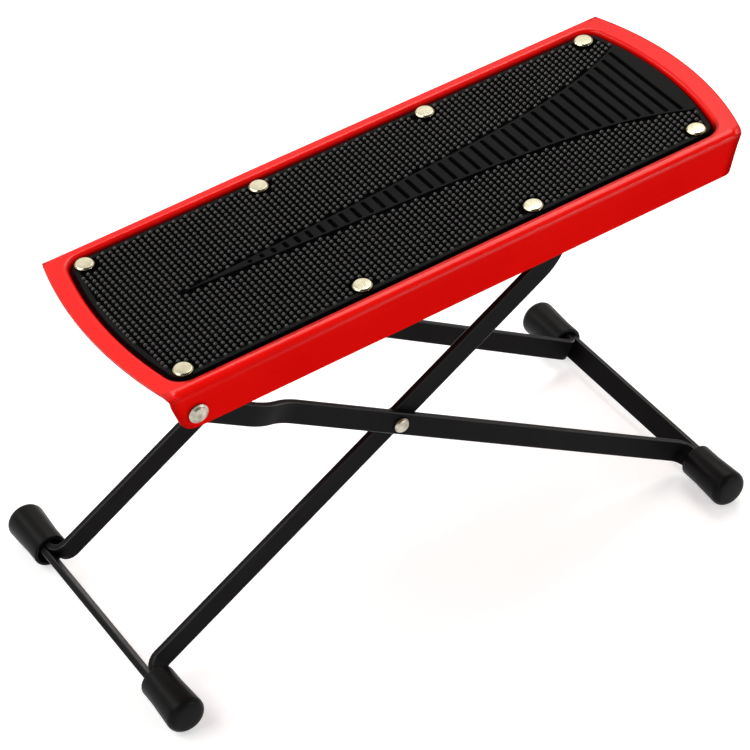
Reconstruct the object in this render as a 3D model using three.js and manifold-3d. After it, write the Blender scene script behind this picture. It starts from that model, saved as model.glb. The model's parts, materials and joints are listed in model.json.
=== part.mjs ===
// Folding guitar footrest: a pressed steel platform with a ribbed rubber mat, carried by two scissor
// frames of flat steel bar that stand on rubber feet.
// Millimetres, +Z up. +X points to the raised rear end of the platform, near is -Y and far is +Y.
// The origin is on the floor, under the middle of the whole object.

import * as THREE from 'three';
import { mergeVertices, toCreasedNormals } from 'three/addons/utils/BufferGeometryUtils.js';
import Module from 'manifold-3d';

const wasm = await Module();
wasm.setup();

// Fits
const SEAT_GAP = 0.3; // between two faces that rest on each other
const HOLE_CLEARANCE = 0.2; // round a rivet or bar in its hole, on the radius
const CUT_OVERRUN = 2; // how far a cutting shape runs past what it cuts

// Platform tray, seen from above
const TRAY_LENGTH = 287.6; // from corner to corner along a side
const TRAY_WIDTH = 110;
const TRAY_CORNER_RADIUS = 2.5;
const FRONT_BULGE = 7.2; // how far the bowed front end stands past its corners
const REAR_BULGE = 10.6;

// Platform tray, the sheet and its two side flanges
const TRAY_SHEET = 1.2;
const EDGE_RADIUS = 3; // outside of the bend between top and flange
const FLANGE_DEPTH = 21.2; // from the top face to the flange's lower edge
const FRONT_FLANGE_SLANT = 5.2; // how far each end of a flange leans in by its lower edge
const REAR_FLANGE_SLANT = 6.3;
const FRONT_FLANGE_RADIUS = 8.3;
const REAR_FLANGE_RADIUS = 2.5;

// Recess for the mat
const SIDE_RIM = 5;
const FRONT_RIM = 8;
const REAR_RIM = 9.2;
const RECESS_DEPTH = 3;
const RECESS_CORNER_RADIUS = 9.9;
const RECESS_FRONT_BULGE = 6.2;
const RECESS_REAR_BULGE = 7.4;
const SHOULDER_RUN = 1.9; // width of the drawn shoulder, from rim to recess floor

// Rubber mat
const MAT_THICKNESS = 1.8;
const MAT_SIDE_GAP = 1.2; // from the recess floor's edge to the mat
const MAT_FRONT_GAP = 1.1;
const MAT_REAR_GAP = 0.4;

// Smooth tread on the mat: a raised shape that starts as a tip and flares towards the rear
const TREAD_HEIGHT = 0.6;
const TREAD_SHIFT = 0.6; // its centre line lies a little to the far side
const TREAD_TIP_INSET = 39; // from the tray's front corners to the tip
const TREAD_TAPER = 15.2; // half width that it gains evenly along its length
const TREAD_FLARE = 18.8; // half width that it gains mostly at the rear
const TREAD_FLARE_POWER = 7.5;
const GROOVE_COUNT = 36;
const GROOVE_WIDTH = 2.1;
const FIRST_GROOVE_FROM_TIP = 32.35;
const LAST_GROOVE_INSET = 10.45; // from the tray's rear corners
const GROOVE_LAND = 2; // tread left standing beyond the end of a long groove
const GROOVE_FADE = 1.4; // half width at which half of that land is left

// Rivets that hold the mat
const MAT_RIVETS_PER_SIDE = 4;
const FIRST_MAT_RIVET_INSET = 14.1; // from the tray's front corners
const LAST_MAT_RIVET_INSET = 14.45; // from the tray's rear corners
const MAT_RIVET_SIDE_INSET = 12.6; // from the tray's side
const MAT_RIVET_HEAD_RADIUS = 4.4;
const MAT_RIVET_HEAD_HEIGHT = 1.2;
const MAT_RIVET_SHANK_RADIUS = 2;
const MAT_RIVET_TAIL_RADIUS = 3.1;
const MAT_RIVET_TAIL_HEIGHT = 0.7;

// Flat bar of the legs and crossbars
const BAR_WIDTH = 10.7;
const BAR_THICKNESS = 3;
const FOOT_BEND_RADIUS = 6.5; // at the middle of the bar's thickness
const JOGGLE_RADIUS = 34;

// Linkage, between pivot centres
const PIVOT_INSET = 12; // from the tray's front corners to the front pivot
const PIVOT_DEPTH = 13.7; // from the tray's top face down to the front pivot and the height rod
// The frames fold up under the tray, so their lengths are shares of the tray's length.
const PIVOT_TO_SCISSOR_SHARE = 0.4089;
const SCISSOR_TO_ROD_SHARE = 0.4725;
const SCISSOR_TO_FRONT_FOOT_SHARE = 0.5316;
const SCISSOR_TO_REAR_FOOT_SHARE = 0.6453;
const FRAMES_ANGLE = 63.31; // in degrees, between the two frames at the setting in use; 0 when folded
const NOTCH_PITCH = 12.5;
const NOTCH_COUNT = 4;
const NOTCH_IN_USE = 1; // counted from the highest, which is 0

// Joggles of the legs, along the leg from its top pivot and across it
const OUTER_JOGGLE = 6.2; // inward step of the outer legs below the tray
const OUTER_JOGGLE_START = 36;
const OUTER_JOGGLE_RUN = 16;
const INNER_JOGGLE = 5.5; // outward step of the inner legs below the height rod
const INNER_JOGGLE_START = 25;
const INNER_JOGGLE_RUN = 16;

// Front pivot rivet and its washer
const FRONT_HEAD_RADIUS = 4.55;
const FRONT_HEAD_HEIGHT = 1.8;
const FRONT_SHANK_RADIUS = 2.5;
const FRONT_TAIL_RADIUS = 3.8;
const FRONT_WASHER_RADIUS = 4.8;

// Scissor rivet and its washer
const SCISSOR_HEAD_RADIUS = 3.6;
const SCISSOR_HEAD_HEIGHT = 1.8;
const SCISSOR_SHANK_RADIUS = 2.2;
const SCISSOR_TAIL_RADIUS = 3.3;
const SCISSOR_WASHER_RADIUS = 4.4;

const PIVOT_TAIL_HEIGHT = 1.2;
const WASHER_THICKNESS = 0.8;

// Height rod between the inner legs
const ROD_RADIUS = 3;
const ROD_TENON_RADIUS = 2.3;
const ROD_HEAD_RADIUS = 3.9;
const ROD_HEAD_HEIGHT = 1.8;

// Notched racks under the tray
const RACK_SHEET = 1.5;
const RACK_BEND_RADIUS = 1.6; // at the middle of the sheet
const RACK_RIVETS = 2; // of the mat rivets on each side, counted from the rear
const RACK_EDGE_MARGIN = 1; // base outside its rivets' tails
const RACK_END_MARGIN = 6; // base beyond its rivets' centres
const RACK_TO_LEG_GAP = 3.5; // between the notched web and the top of the inner leg
const RACK_WEB_MARGIN = 9; // web beyond the centres of its first and last notch
const ROD_RUNNING_GAP = 0.85; // from the rod to the tooth tips
const NOTCH_DEPTH = 2.75;

// Rubber feet
const FOOT_LENGTH = 28;
const FOOT_WALL = 1.8; // at the mouth
const FOOT_FLARE = 1; // how much wider the foot gets towards its end, on the radius
const FOOT_COLLAR_LENGTH = 9;
const FOOT_LIP_RADIUS = 0.8;
const FOOT_END_RADIUS = 3.5;
const FOOT_END_DOME = 0.7;
const FOOT_END_WALL = 2.6;
const FOOT_MOUTH_GAP = 0.5; // from the end of the bar's bend to the foot's mouth

// Rounding steps
const BEND_STEPS = 6;
const SHOULDER_STEPS = 6;
const END_ARC_STEPS = 12;
const CORNER_STEPS = 4;
const TREAD_STEPS = 24;
const RIVET_STEPS = 16;
const PIVOT_STEPS = 20;
const FOOT_STEPS = 28;
const FOOT_END_STEPS = 4;

// How much of the shoulder's underside is drawn before it meets the sheet
const SHOULDER_UNDERSIDE_SHARE = 2 / 3;
// Side wall of a rivet head as a share of its height, and its flat top as a share of its radius
const HEAD_WALL_SHARE = 0.55;
const HEAD_TOP_SHARE = 0.82;
// Height in the mat from which the tread is moulded, as a share of the mat's thickness
const TREAD_ROOT_SHARE = 0.5;

const QUARTER_TURN = Math.PI / 2;
const HALF_TURN = Math.PI;
const CREASE_ANGLE = Math.PI / 6;
const FAR = 1;
const NEAR = -1;

// Finishes
const RED_PAINT = { color: 0xdf1a12, roughness: 0.36, metalness: 0 };
const BLACK_PAINT = { color: 0x111112, roughness: 0.42, metalness: 0 };
const RIVET_STEEL = { color: 0xd8d3c4, roughness: 0.34, metalness: 1 };
const MAT_RUBBER = { color: 0x161617, roughness: 0.72, metalness: 0 };
const FOOT_RUBBER = { color: 0x121213, roughness: 0.5, metalness: 0 };

// Places along the tray, from its middle
const frontCornerX = -TRAY_LENGTH / 2;
const rearCornerX = TRAY_LENGTH / 2;
const frontX = frontCornerX - FRONT_BULGE;
const rearX = rearCornerX + REAR_BULGE;

// Levels below the tray's top face, which is zero
const recessFloorZ = -RECESS_DEPTH;
const panUndersideZ = recessFloorZ - TRAY_SHEET;
const matBottomZ = recessFloorZ + SEAT_GAP;
const matTopZ = matBottomZ + MAT_THICKNESS;
const rackTopZ = panUndersideZ - SEAT_GAP;
const rackBottomZ = rackTopZ - RACK_SHEET;
const toothTipZ = -PIVOT_DEPTH + ROD_RADIUS + ROD_RUNNING_GAP;

// Distances outward from the centre plane
const flangeOut = TRAY_WIDTH / 2;
const outerLegTopOut = flangeOut - TRAY_SHEET - SEAT_GAP;
const outerLegOut = outerLegTopOut - OUTER_JOGGLE;
const innerLegOut = outerLegOut - BAR_THICKNESS - SEAT_GAP;
const innerLegTopOut = innerLegOut - INNER_JOGGLE;
const rackWebOut = innerLegTopOut - BAR_THICKNESS - RACK_TO_LEG_GAP;
const matRivetOut = flangeOut - MAT_RIVET_SIDE_INSET;
const rackBaseOut = matRivetOut + MAT_RIVET_TAIL_RADIUS + RACK_EDGE_MARGIN;
const mouthFromLeg = FOOT_BEND_RADIUS - BAR_THICKNESS / 2 + FOOT_MOUTH_GAP;
const rearFootMouthOut = outerLegOut + mouthFromLeg;
const frontFootMouthOut = innerLegOut + mouthFromLeg;
const footDepth = FOOT_LENGTH - FOOT_END_WALL;
const footBoreRadius = Math.hypot(BAR_WIDTH / 2, BAR_THICKNESS + SEAT_GAP / 2) + HOLE_CLEARANCE;

// The linkage at rest, in the tray's side view: front pivot, scissor pivot and height rod are a triangle
const pivotToScissor = TRAY_LENGTH * PIVOT_TO_SCISSOR_SHARE;
const scissorToRod = TRAY_LENGTH * SCISSOR_TO_ROD_SHARE;
const outerLegLength = pivotToScissor + TRAY_LENGTH * SCISSOR_TO_REAR_FOOT_SHARE;
const innerLegLength = scissorToRod + TRAY_LENGTH * SCISSOR_TO_FRONT_FOOT_SHARE;
const framesAngle = THREE.MathUtils.degToRad(FRAMES_ANGLE);
const outerLegAngle = Math.atan2(
  scissorToRod * Math.sin(framesAngle),
  pivotToScissor + scissorToRod * Math.cos(framesAngle),
);
const innerLegAngle = framesAngle - outerLegAngle;
const rodReach = pivotToScissor * Math.cos(outerLegAngle) + scissorToRod * Math.cos(innerLegAngle);
const firstNotchReach = rodReach - NOTCH_IN_USE * NOTCH_PITCH;
const outerLegDirection = new THREE.Vector2(Math.cos(outerLegAngle), -Math.sin(outerLegAngle));
const innerLegDirection = new THREE.Vector2(-Math.cos(innerLegAngle), -Math.sin(innerLegAngle));
const frontPivot = new THREE.Vector2(frontCornerX + PIVOT_INSET, -PIVOT_DEPTH);
const heightRod = new THREE.Vector2(frontPivot.x + rodReach, -PIVOT_DEPTH);
const rearFoot = frontPivot.clone().addScaledVector(outerLegDirection, outerLegLength);
const frontFoot = heightRod.clone().addScaledVector(innerLegDirection, innerLegLength);
const platformTilt = Math.atan2(frontFoot.y - rearFoot.y, rearFoot.x - frontFoot.x);

// Joining and cutting

function solidOf(geometry) {
  const bare = geometry.clone();
  bare.deleteAttribute('normal');
  bare.deleteAttribute('uv');
  const merged = mergeVertices(bare);
  const corners = merged.index.array;
  const triangles = [];
  for (let i = 0; i < corners.length; i += 3) {
    const [a, b, c] = corners.slice(i, i + 3);
    if (a !== b && b !== c && c !== a) triangles.push(a, b, c);
  }
  return new wasm.Manifold(new wasm.Mesh({
    numProp: 3,
    vertProperties: merged.attributes.position.array,
    triVerts: Uint32Array.from(triangles),
  }));
}

function geometryOf(solid) {
  const { vertProperties, triVerts } = solid.getMesh();
  const geometry = new THREE.BufferGeometry();
  geometry.setAttribute('position', new THREE.BufferAttribute(vertProperties, 3));
  geometry.setIndex(new THREE.BufferAttribute(triVerts, 1));
  return geometry;
}

function combine(operation, shapes) {
  const [first, ...others] = shapes.map(solidOf);
  return geometryOf(others.reduce((result, other) => result[operation](other), first));
}

const join = (...shapes) => combine('add', shapes);
const cut = (...shapes) => combine('subtract', shapes);
const common = (...shapes) => combine('intersect', shapes);

function piece(name, geometry, finish) {
  const clean = geometryOf(solidOf(geometry));
  const mesh = new THREE.Mesh(toCreasedNormals(clean, CREASE_ANGLE), new THREE.MeshStandardMaterial(finish));
  mesh.name = name;
  return mesh;
}

// Pieces made for the far side are turned about the X axis for the near side.
function onSide(side, mesh) {
  mesh.rotation.x = side === NEAR ? HALF_TURN : 0;
  return mesh;
}

function sideName(side) {
  return side === NEAR ? 'near' : 'far';
}

// Outlines

function vector(x, y) {
  return new THREE.Vector2(x, y);
}

// Places from first to last, evenly spaced.
function spaced(first, last, count) {
  return Array.from({ length: count }, (_, i) => first + (last - first) * (i / (count - 1)));
}

function rectangle(lowX, lowY, highX, highY) {
  return [vector(lowX, lowY), vector(highX, lowY), vector(highX, highY), vector(lowX, highY)];
}

function arcPoints(centre, radius, from, to, steps) {
  return Array.from({ length: steps + 1 }, (_, step) => {
    const angle = from + (to - from) * (step / steps);
    return vector(centre.x + radius * Math.cos(angle), centre.y + radius * Math.sin(angle));
  });
}

// A line through the corners, with an arc of the given radius at each inner corner.
function roundedLine(corners, radii) {
  const points = [corners[0]];
  radii.forEach((radius, i) => {
    const corner = corners[i + 1];
    const back = corners[i].clone().sub(corner).normalize();
    const ahead = corners[i + 2].clone().sub(corner).normalize();
    const halfAngle = Math.acos(back.dot(ahead)) / 2;
    const middle = back.clone().add(ahead).normalize();
    const centre = corner.clone().addScaledVector(middle, radius / Math.sin(halfAngle));
    const start = corner.clone().addScaledVector(back, radius / Math.tan(halfAngle));
    const turn = -Math.sign(back.cross(ahead)) * (HALF_TURN - 2 * halfAngle);
    for (let step = 0; step <= BEND_STEPS; step += 1) {
      points.push(start.clone().rotateAround(centre, turn * (step / BEND_STEPS)));
    }
  });
  points.push(corners[corners.length - 1]);
  return points;
}

// The closed outline of a sheet or bar of the given thickness that follows a line.
function thickened(line, thickness) {
  const normals = line.slice(1).map((point, i) => {
    const run = point.clone().sub(line[i]).normalize();
    return vector(-run.y, run.x);
  });
  const offsets = line.map((point, i) => {
    const before = normals[Math.max(i - 1, 0)];
    const after = normals[Math.min(i, normals.length - 1)];
    return before.clone().add(after).multiplyScalar(thickness / 2 / (1 + before.dot(after)));
  });
  const left = line.map((point, i) => point.clone().add(offsets[i]));
  const right = line.map((point, i) => point.clone().sub(offsets[i]));
  return [...left, ...right.reverse()];
}

// The +X half of a plate outline with a bowed end, grown by an offset.
function bowedEnd(endX, bulge, halfWidth, cornerRadius, offset) {
  const endRadius = (bulge ** 2 + halfWidth ** 2) / (2 * bulge);
  const endCentre = vector(endX - endRadius, 0);
  const cornerY = halfWidth - cornerRadius;
  const cornerX = endCentre.x + Math.sqrt((endRadius - cornerRadius) ** 2 - cornerY ** 2);
  const meeting = Math.atan2(cornerY, cornerX - endCentre.x);
  const grownCorner = cornerRadius + offset;
  return [
    ...arcPoints(vector(cornerX, -cornerY), grownCorner, -QUARTER_TURN, -meeting, CORNER_STEPS),
    ...arcPoints(endCentre, endRadius + offset, -meeting, meeting, END_ARC_STEPS).slice(1, -1),
    ...arcPoints(vector(cornerX, cornerY), grownCorner, meeting, QUARTER_TURN, CORNER_STEPS),
  ];
}

function plateOutline(plate, offset = 0) {
  const { halfWidth, cornerRadius } = plate;
  const rear = bowedEnd(plate.rearX, plate.rearBulge, halfWidth, cornerRadius, offset);
  const front = bowedEnd(-plate.frontX, plate.frontBulge, halfWidth, cornerRadius, offset);
  return [...rear, ...front.map((point) => vector(-point.x, -point.y))];
}

const trayPlate = {
  halfWidth: TRAY_WIDTH / 2,
  cornerRadius: TRAY_CORNER_RADIUS,
  frontX,
  frontBulge: FRONT_BULGE,
  rearX,
  rearBulge: REAR_BULGE,
};

const recessFloorPlate = {
  halfWidth: TRAY_WIDTH / 2 - SIDE_RIM - SHOULDER_RUN,
  cornerRadius: RECESS_CORNER_RADIUS - SHOULDER_RUN,
  frontX: frontX + FRONT_RIM + SHOULDER_RUN,
  frontBulge: RECESS_FRONT_BULGE,
  rearX: rearX - REAR_RIM - SHOULDER_RUN,
  rearBulge: RECESS_REAR_BULGE,
};

const matPlate = {
  halfWidth: recessFloorPlate.halfWidth - MAT_SIDE_GAP,
  cornerRadius: recessFloorPlate.cornerRadius - MAT_SIDE_GAP,
  frontX: recessFloorPlate.frontX + MAT_FRONT_GAP,
  frontBulge: RECESS_FRONT_BULGE,
  rearX: recessFloorPlate.rearX - MAT_REAR_GAP,
  rearBulge: RECESS_REAR_BULGE,
};

// Prisms and turned shapes

function prism(outline, length) {
  const settings = { depth: length, bevelEnabled: false };
  return new THREE.ExtrudeGeometry(new THREE.Shape(outline), settings).translate(0, 0, -length / 2);
}

// Outline in X and Y, standing between two levels.
function standing(outline, lowZ, highZ) {
  return prism(outline, highZ - lowZ).translate(0, 0, (lowZ + highZ) / 2);
}

// Outline in X and Z, centred across Y.
function across(outline, width) {
  return prism(outline, width).rotateX(QUARTER_TURN);
}

// Outline in Y and Z, between two places along X.
function along(outline, startX, endX) {
  const geometry = prism(outline, endX - startX).rotateX(QUARTER_TURN).rotateZ(QUARTER_TURN);
  return geometry.translate((startX + endX) / 2, 0, 0);
}

// Turned about Y, from a profile of radius and place along Y.
function turned(profile, steps) {
  return new THREE.LatheGeometry(profile.map(([radius, place]) => vector(radius, place)), steps);
}

function pin(radius, from, to, steps) {
  return turned([[0, from], [radius, from], [radius, to], [0, to]], steps);
}

function washer(boreRadius, radius, from, to) {
  const profile = [[boreRadius, from], [radius, from], [radius, to], [boreRadius, to], [boreRadius, from]];
  return turned(profile, PIVOT_STEPS);
}

// A rivet along Y: tail, shank, and an outward head with a chamfered edge.
function rivet({ head, shankRadius, tail, tailEnd, headStart, steps }) {
  const tailTop = tailEnd + tail.height;
  const headTop = headStart + head.height;
  return turned([
    [0, tailEnd],
    [tail.radius * HEAD_TOP_SHARE, tailEnd],
    [tail.radius, tailTop - tail.height * HEAD_WALL_SHARE],
    [tail.radius, tailTop],
    [shankRadius, tailTop],
    [shankRadius, headStart],
    [head.radius, headStart],
    [head.radius, headStart + head.height * HEAD_WALL_SHARE],
    [head.radius * HEAD_TOP_SHARE, headTop],
    [0, headTop],
  ], steps);
}

// A solid between rings of equally many points, one above the other.
function ringStack(rings) {
  const count = rings[0].outline.length;
  const positions = rings.flatMap(({ outline, z }) => outline.flatMap((point) => [point.x, point.y, z]));
  const faces = THREE.ShapeUtils.triangulateShape(rings[0].outline, []);
  const top = (rings.length - 1) * count;
  const index = faces.flatMap(([a, b, c]) => [c, b, a, top + a, top + b, top + c]);
  for (let ring = 0; ring < rings.length - 1; ring += 1) {
    for (let i = 0; i < count; i += 1) {
      const a = ring * count + i;
      const b = ring * count + ((i + 1) % count);
      index.push(a, b, b + count, a, b + count, a + count);
    }
  }
  const geometry = new THREE.BufferGeometry();
  geometry.setAttribute('position', new THREE.Float32BufferAttribute(positions, 3));
  geometry.setIndex(index);
  return geometry;
}

// Mat rivets, numbered from the front on the near side, then on the far side

const firstMatRivetX = frontCornerX + FIRST_MAT_RIVET_INSET;
const lastMatRivetX = rearCornerX - LAST_MAT_RIVET_INSET;

const matRivetPlaces = [NEAR, FAR].flatMap((side) => (
  spaced(firstMatRivetX, lastMatRivetX, MAT_RIVETS_PER_SIDE).map((x, i) => ({
    x,
    y: side * matRivetOut,
    holdsRack: i >= MAT_RIVETS_PER_SIDE - RACK_RIVETS,
  }))
));

const rackRivetXs = matRivetPlaces.filter((place) => place.holdsRack).map((place) => place.x);

function matRivetDrills() {
  const radius = MAT_RIVET_SHANK_RADIUS + HOLE_CLEARANCE;
  const drill = new THREE.CylinderGeometry(radius, radius, FLANGE_DEPTH, RIVET_STEPS).rotateX(QUARTER_TURN);
  return matRivetPlaces.map(({ x, y }) => drill.clone().translate(x, y, 0));
}

function matRivet(place, number) {
  const under = place.holdsRack ? rackBottomZ : panUndersideZ;
  const shape = rivet({
    head: { radius: MAT_RIVET_HEAD_RADIUS, height: MAT_RIVET_HEAD_HEIGHT },
    shankRadius: MAT_RIVET_SHANK_RADIUS,
    tail: { radius: MAT_RIVET_TAIL_RADIUS, height: MAT_RIVET_TAIL_HEIGHT },
    tailEnd: under - SEAT_GAP - MAT_RIVET_TAIL_HEIGHT,
    headStart: matTopZ + SEAT_GAP,
    steps: RIVET_STEPS,
  });
  const mesh = piece(`mat_rivet_${number}`, shape.rotateX(QUARTER_TURN), RIVET_STEEL);
  mesh.position.set(place.x, place.y, 0);
  return mesh;
}

// Platform tray

// The drawn shoulder eases from the recess floor, at share 0, to the rim, at share 1.
function shoulderPoint(share) {
  return { offset: SHOULDER_RUN * share, z: -RECESS_DEPTH * (1 + Math.cos(Math.PI * share)) / 2 };
}

function shoulderUnderside(share) {
  const rise = QUARTER_TURN * RECESS_DEPTH * Math.sin(Math.PI * share);
  const slope = Math.hypot(rise, SHOULDER_RUN);
  const { offset, z } = shoulderPoint(share);
  return { offset: offset + TRAY_SHEET * rise / slope, z: z - TRAY_SHEET * SHOULDER_RUN / slope };
}

const shoulderShares = Array.from({ length: SHOULDER_STEPS + 1 }, (_, step) => step / SHOULDER_STEPS);

function recessStack(points) {
  return ringStack(points.map(({ offset, z }) => ({ outline: plateOutline(recessFloorPlate, offset), z })));
}

function recessHollow() {
  return recessStack([...shoulderShares.map(shoulderPoint), { offset: SHOULDER_RUN, z: CUT_OVERRUN }]);
}

function recessPan() {
  const drawn = shoulderShares.filter((share) => share <= SHOULDER_UNDERSIDE_SHARE);
  const points = drawn.map(shoulderUnderside);
  const widest = points[points.length - 1].offset;
  return recessStack([...points, { offset: widest, z: -TRAY_SHEET / 2 }]);
}

// Side view of the tray: the top runs on past the flanges, whose ends lean in and are rounded.
function traySideOutline() {
  const rearFlange = roundedLine([
    vector(0, -FLANGE_DEPTH),
    vector(rearCornerX - REAR_FLANGE_SLANT, -FLANGE_DEPTH),
    vector(rearCornerX, -EDGE_RADIUS),
  ], [REAR_FLANGE_RADIUS]);
  const frontFlange = roundedLine([
    vector(frontCornerX, -EDGE_RADIUS),
    vector(frontCornerX + FRONT_FLANGE_SLANT, -FLANGE_DEPTH),
    vector(0, -FLANGE_DEPTH),
  ], [FRONT_FLANGE_RADIUS]);
  return [
    vector(frontX - CUT_OVERRUN, -EDGE_RADIUS),
    ...frontFlange,
    ...rearFlange.slice(1),
    vector(rearX + CUT_OVERRUN, -EDGE_RADIUS),
    vector(rearX + CUT_OVERRUN, CUT_OVERRUN),
    vector(frontX - CUT_OVERRUN, CUT_OVERRUN),
  ];
}

function trayChannel() {
  const middleOut = flangeOut - TRAY_SHEET / 2;
  const middleZ = -TRAY_SHEET / 2;
  const bend = EDGE_RADIUS - TRAY_SHEET / 2;
  const lowest = -FLANGE_DEPTH - CUT_OVERRUN;
  const line = roundedLine([
    vector(-middleOut, lowest),
    vector(-middleOut, middleZ),
    vector(middleOut, middleZ),
    vector(middleOut, lowest),
  ], [bend, bend]);
  return along(thickened(line, TRAY_SHEET), frontX - CUT_OVERRUN, rearX + CUT_OVERRUN);
}

function platformTray() {
  const fromAbove = standing(plateOutline(trayPlate), -FLANGE_DEPTH - CUT_OVERRUN, CUT_OVERRUN);
  const fromSide = across(traySideOutline(), TRAY_WIDTH + CUT_OVERRUN);
  const channel = common(trayChannel(), fromAbove, fromSide);
  const drillReach = flangeOut + CUT_OVERRUN;
  const pivotDrill = pin(FRONT_SHANK_RADIUS + HOLE_CLEARANCE, -drillReach, drillReach, PIVOT_STEPS)
    .translate(frontPivot.x, 0, frontPivot.y);
  const shell = cut(join(channel, recessPan()), recessHollow(), pivotDrill, ...matRivetDrills());
  return piece('platform_tray', shell, RED_PAINT);
}

// Rubber mat

const treadTipX = frontCornerX + TREAD_TIP_INSET;
const treadLength = matPlate.rearX - treadTipX;

function treadHalfWidth(x) {
  const share = (x - treadTipX) / treadLength;
  return TREAD_TAPER * share + TREAD_FLARE * share ** TREAD_FLARE_POWER;
}

function treadOutline() {
  const steps = Array.from({ length: TREAD_STEPS }, (_, i) => (i + 1) / TREAD_STEPS);
  const xs = steps.map((step) => treadTipX + treadLength * step);
  const nearEdge = xs.map((x) => vector(x, TREAD_SHIFT - treadHalfWidth(x)));
  const farEdge = xs.map((x) => vector(x, TREAD_SHIFT + treadHalfWidth(x)));
  return [vector(treadTipX, TREAD_SHIFT), ...nearEdge, ...farEdge.reverse()];
}

function treadGroove(x) {
  const halfWidth = treadHalfWidth(x);
  const halfLength = halfWidth - GROOVE_LAND * halfWidth / (halfWidth + GROOVE_FADE);
  const halfGroove = GROOVE_WIDTH / 2;
  const outline = rectangle(-halfGroove, -halfLength, halfGroove, halfLength);
  const groove = standing(outline, matTopZ, matTopZ + TREAD_HEIGHT + CUT_OVERRUN);
  return groove.translate(x, TREAD_SHIFT, 0);
}

function rubberMat() {
  const slab = standing(plateOutline(matPlate), matBottomZ, matTopZ);
  const rootZ = matTopZ - MAT_THICKNESS * TREAD_ROOT_SHARE;
  const treadTopZ = matTopZ + TREAD_HEIGHT;
  const withinMat = standing(plateOutline(matPlate), rootZ, treadTopZ);
  const tread = common(standing(treadOutline(), rootZ, treadTopZ), withinMat);
  const firstGrooveX = treadTipX + FIRST_GROOVE_FROM_TIP;
  const lastGrooveX = rearCornerX - LAST_GROOVE_INSET;
  const grooves = spaced(firstGrooveX, lastGrooveX, GROOVE_COUNT).map(treadGroove);
  return piece('rubber_mat', cut(join(slab, tread), ...grooves, ...matRivetDrills()), MAT_RUBBER);
}

// Height racks: a sheet strip bent to an L, its base under the tray and its notched web hanging down

function rackWebCutters() {
  const firstX = frontPivot.x + firstNotchReach;
  const lastX = firstX + (NOTCH_COUNT - 1) * NOTCH_PITCH;
  const notchRadius = ROD_RADIUS + HOLE_CLEARANCE;
  const notchZ = toothTipZ + NOTCH_DEPTH - notchRadius;
  const notch = pin(notchRadius, -flangeOut, flangeOut, PIVOT_STEPS).translate(firstX, 0, notchZ);
  const notches = spaced(firstX, lastX, NOTCH_COUNT).map((x) => notch.clone().translate(x - firstX, 0, 0));
  const low = toothTipZ - CUT_OVERRUN;
  const high = rackBottomZ - RACK_BEND_RADIUS;
  const before = across(rectangle(frontX, low, firstX - RACK_WEB_MARGIN, high), TRAY_WIDTH);
  const after = across(rectangle(lastX + RACK_WEB_MARGIN, low, rearX, high), TRAY_WIDTH);
  return [...notches, before, after];
}

function heightRack(side) {
  const webMiddle = side * (rackWebOut - RACK_SHEET / 2);
  const baseMiddle = rackTopZ - RACK_SHEET / 2;
  const line = roundedLine([
    vector(webMiddle, toothTipZ),
    vector(webMiddle, baseMiddle),
    vector(side * rackBaseOut, baseMiddle),
  ], [RACK_BEND_RADIUS]);
  const startX = Math.min(...rackRivetXs) - RACK_END_MARGIN;
  const endX = Math.max(...rackRivetXs) + RACK_END_MARGIN;
  const strip = along(thickened(line, RACK_SHEET), startX, endX);
  const shape = cut(strip, ...rackWebCutters(), ...matRivetDrills());
  return piece(`height_rack_${sideName(side)}`, shape, BLACK_PAINT);
}

// Legs. In a leg's own frame X runs down the leg from its top pivot, Y outward and Z across the bar.

// The middle of the foot tab and of the crossbar that lies on it, either side of the foot's centre
const tabOffset = (BAR_THICKNESS + SEAT_GAP) / 2;

function legShape(leg, holes) {
  const half = BAR_THICKNESS / 2;
  const tabX = leg.length - tabOffset;
  const line = roundedLine([
    vector(-BAR_WIDTH, leg.topOut - half),
    vector(leg.joggleStart, leg.topOut - half),
    vector(leg.joggleStart + leg.joggleRun, leg.lowOut - half),
    vector(tabX, leg.lowOut - half),
    vector(tabX, leg.mouthOut + footDepth - SEAT_GAP),
  ], [JOGGLE_RADIUS, JOGGLE_RADIUS, FOOT_BEND_RADIUS]);
  const bar = prism(thickened(line, BAR_THICKNESS), BAR_WIDTH + CUT_OVERRUN);
  const sideView = [
    ...arcPoints(vector(0, 0), BAR_WIDTH / 2, QUARTER_TURN, 3 * QUARTER_TURN, 2 * BEND_STEPS),
    vector(leg.length, -BAR_WIDTH / 2),
    vector(leg.length, BAR_WIDTH / 2),
  ];
  const drills = holes.map(({ x, radius }) => (
    pin(radius + HOLE_CLEARANCE, 0, flangeOut, PIVOT_STEPS).translate(x, 0, 0)
  ));
  return cut(common(bar, across(sideView, 2 * TRAY_WIDTH)), ...drills);
}

const outerLeg = {
  length: outerLegLength,
  topOut: outerLegTopOut,
  lowOut: outerLegOut,
  mouthOut: rearFootMouthOut,
  joggleStart: OUTER_JOGGLE_START,
  joggleRun: OUTER_JOGGLE_RUN,
};

const innerLeg = {
  length: innerLegLength,
  topOut: innerLegTopOut,
  lowOut: innerLegOut,
  mouthOut: frontFootMouthOut,
  joggleStart: INNER_JOGGLE_START,
  joggleRun: INNER_JOGGLE_RUN,
};

function crossbarShape(leg) {
  const halfWidth = BAR_WIDTH / 2;
  const start = leg.length + tabOffset - BAR_THICKNESS / 2;
  const outline = rectangle(start, -halfWidth, start + BAR_THICKNESS, halfWidth);
  return across(outline, 2 * (leg.mouthOut + footDepth - SEAT_GAP));
}

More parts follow.
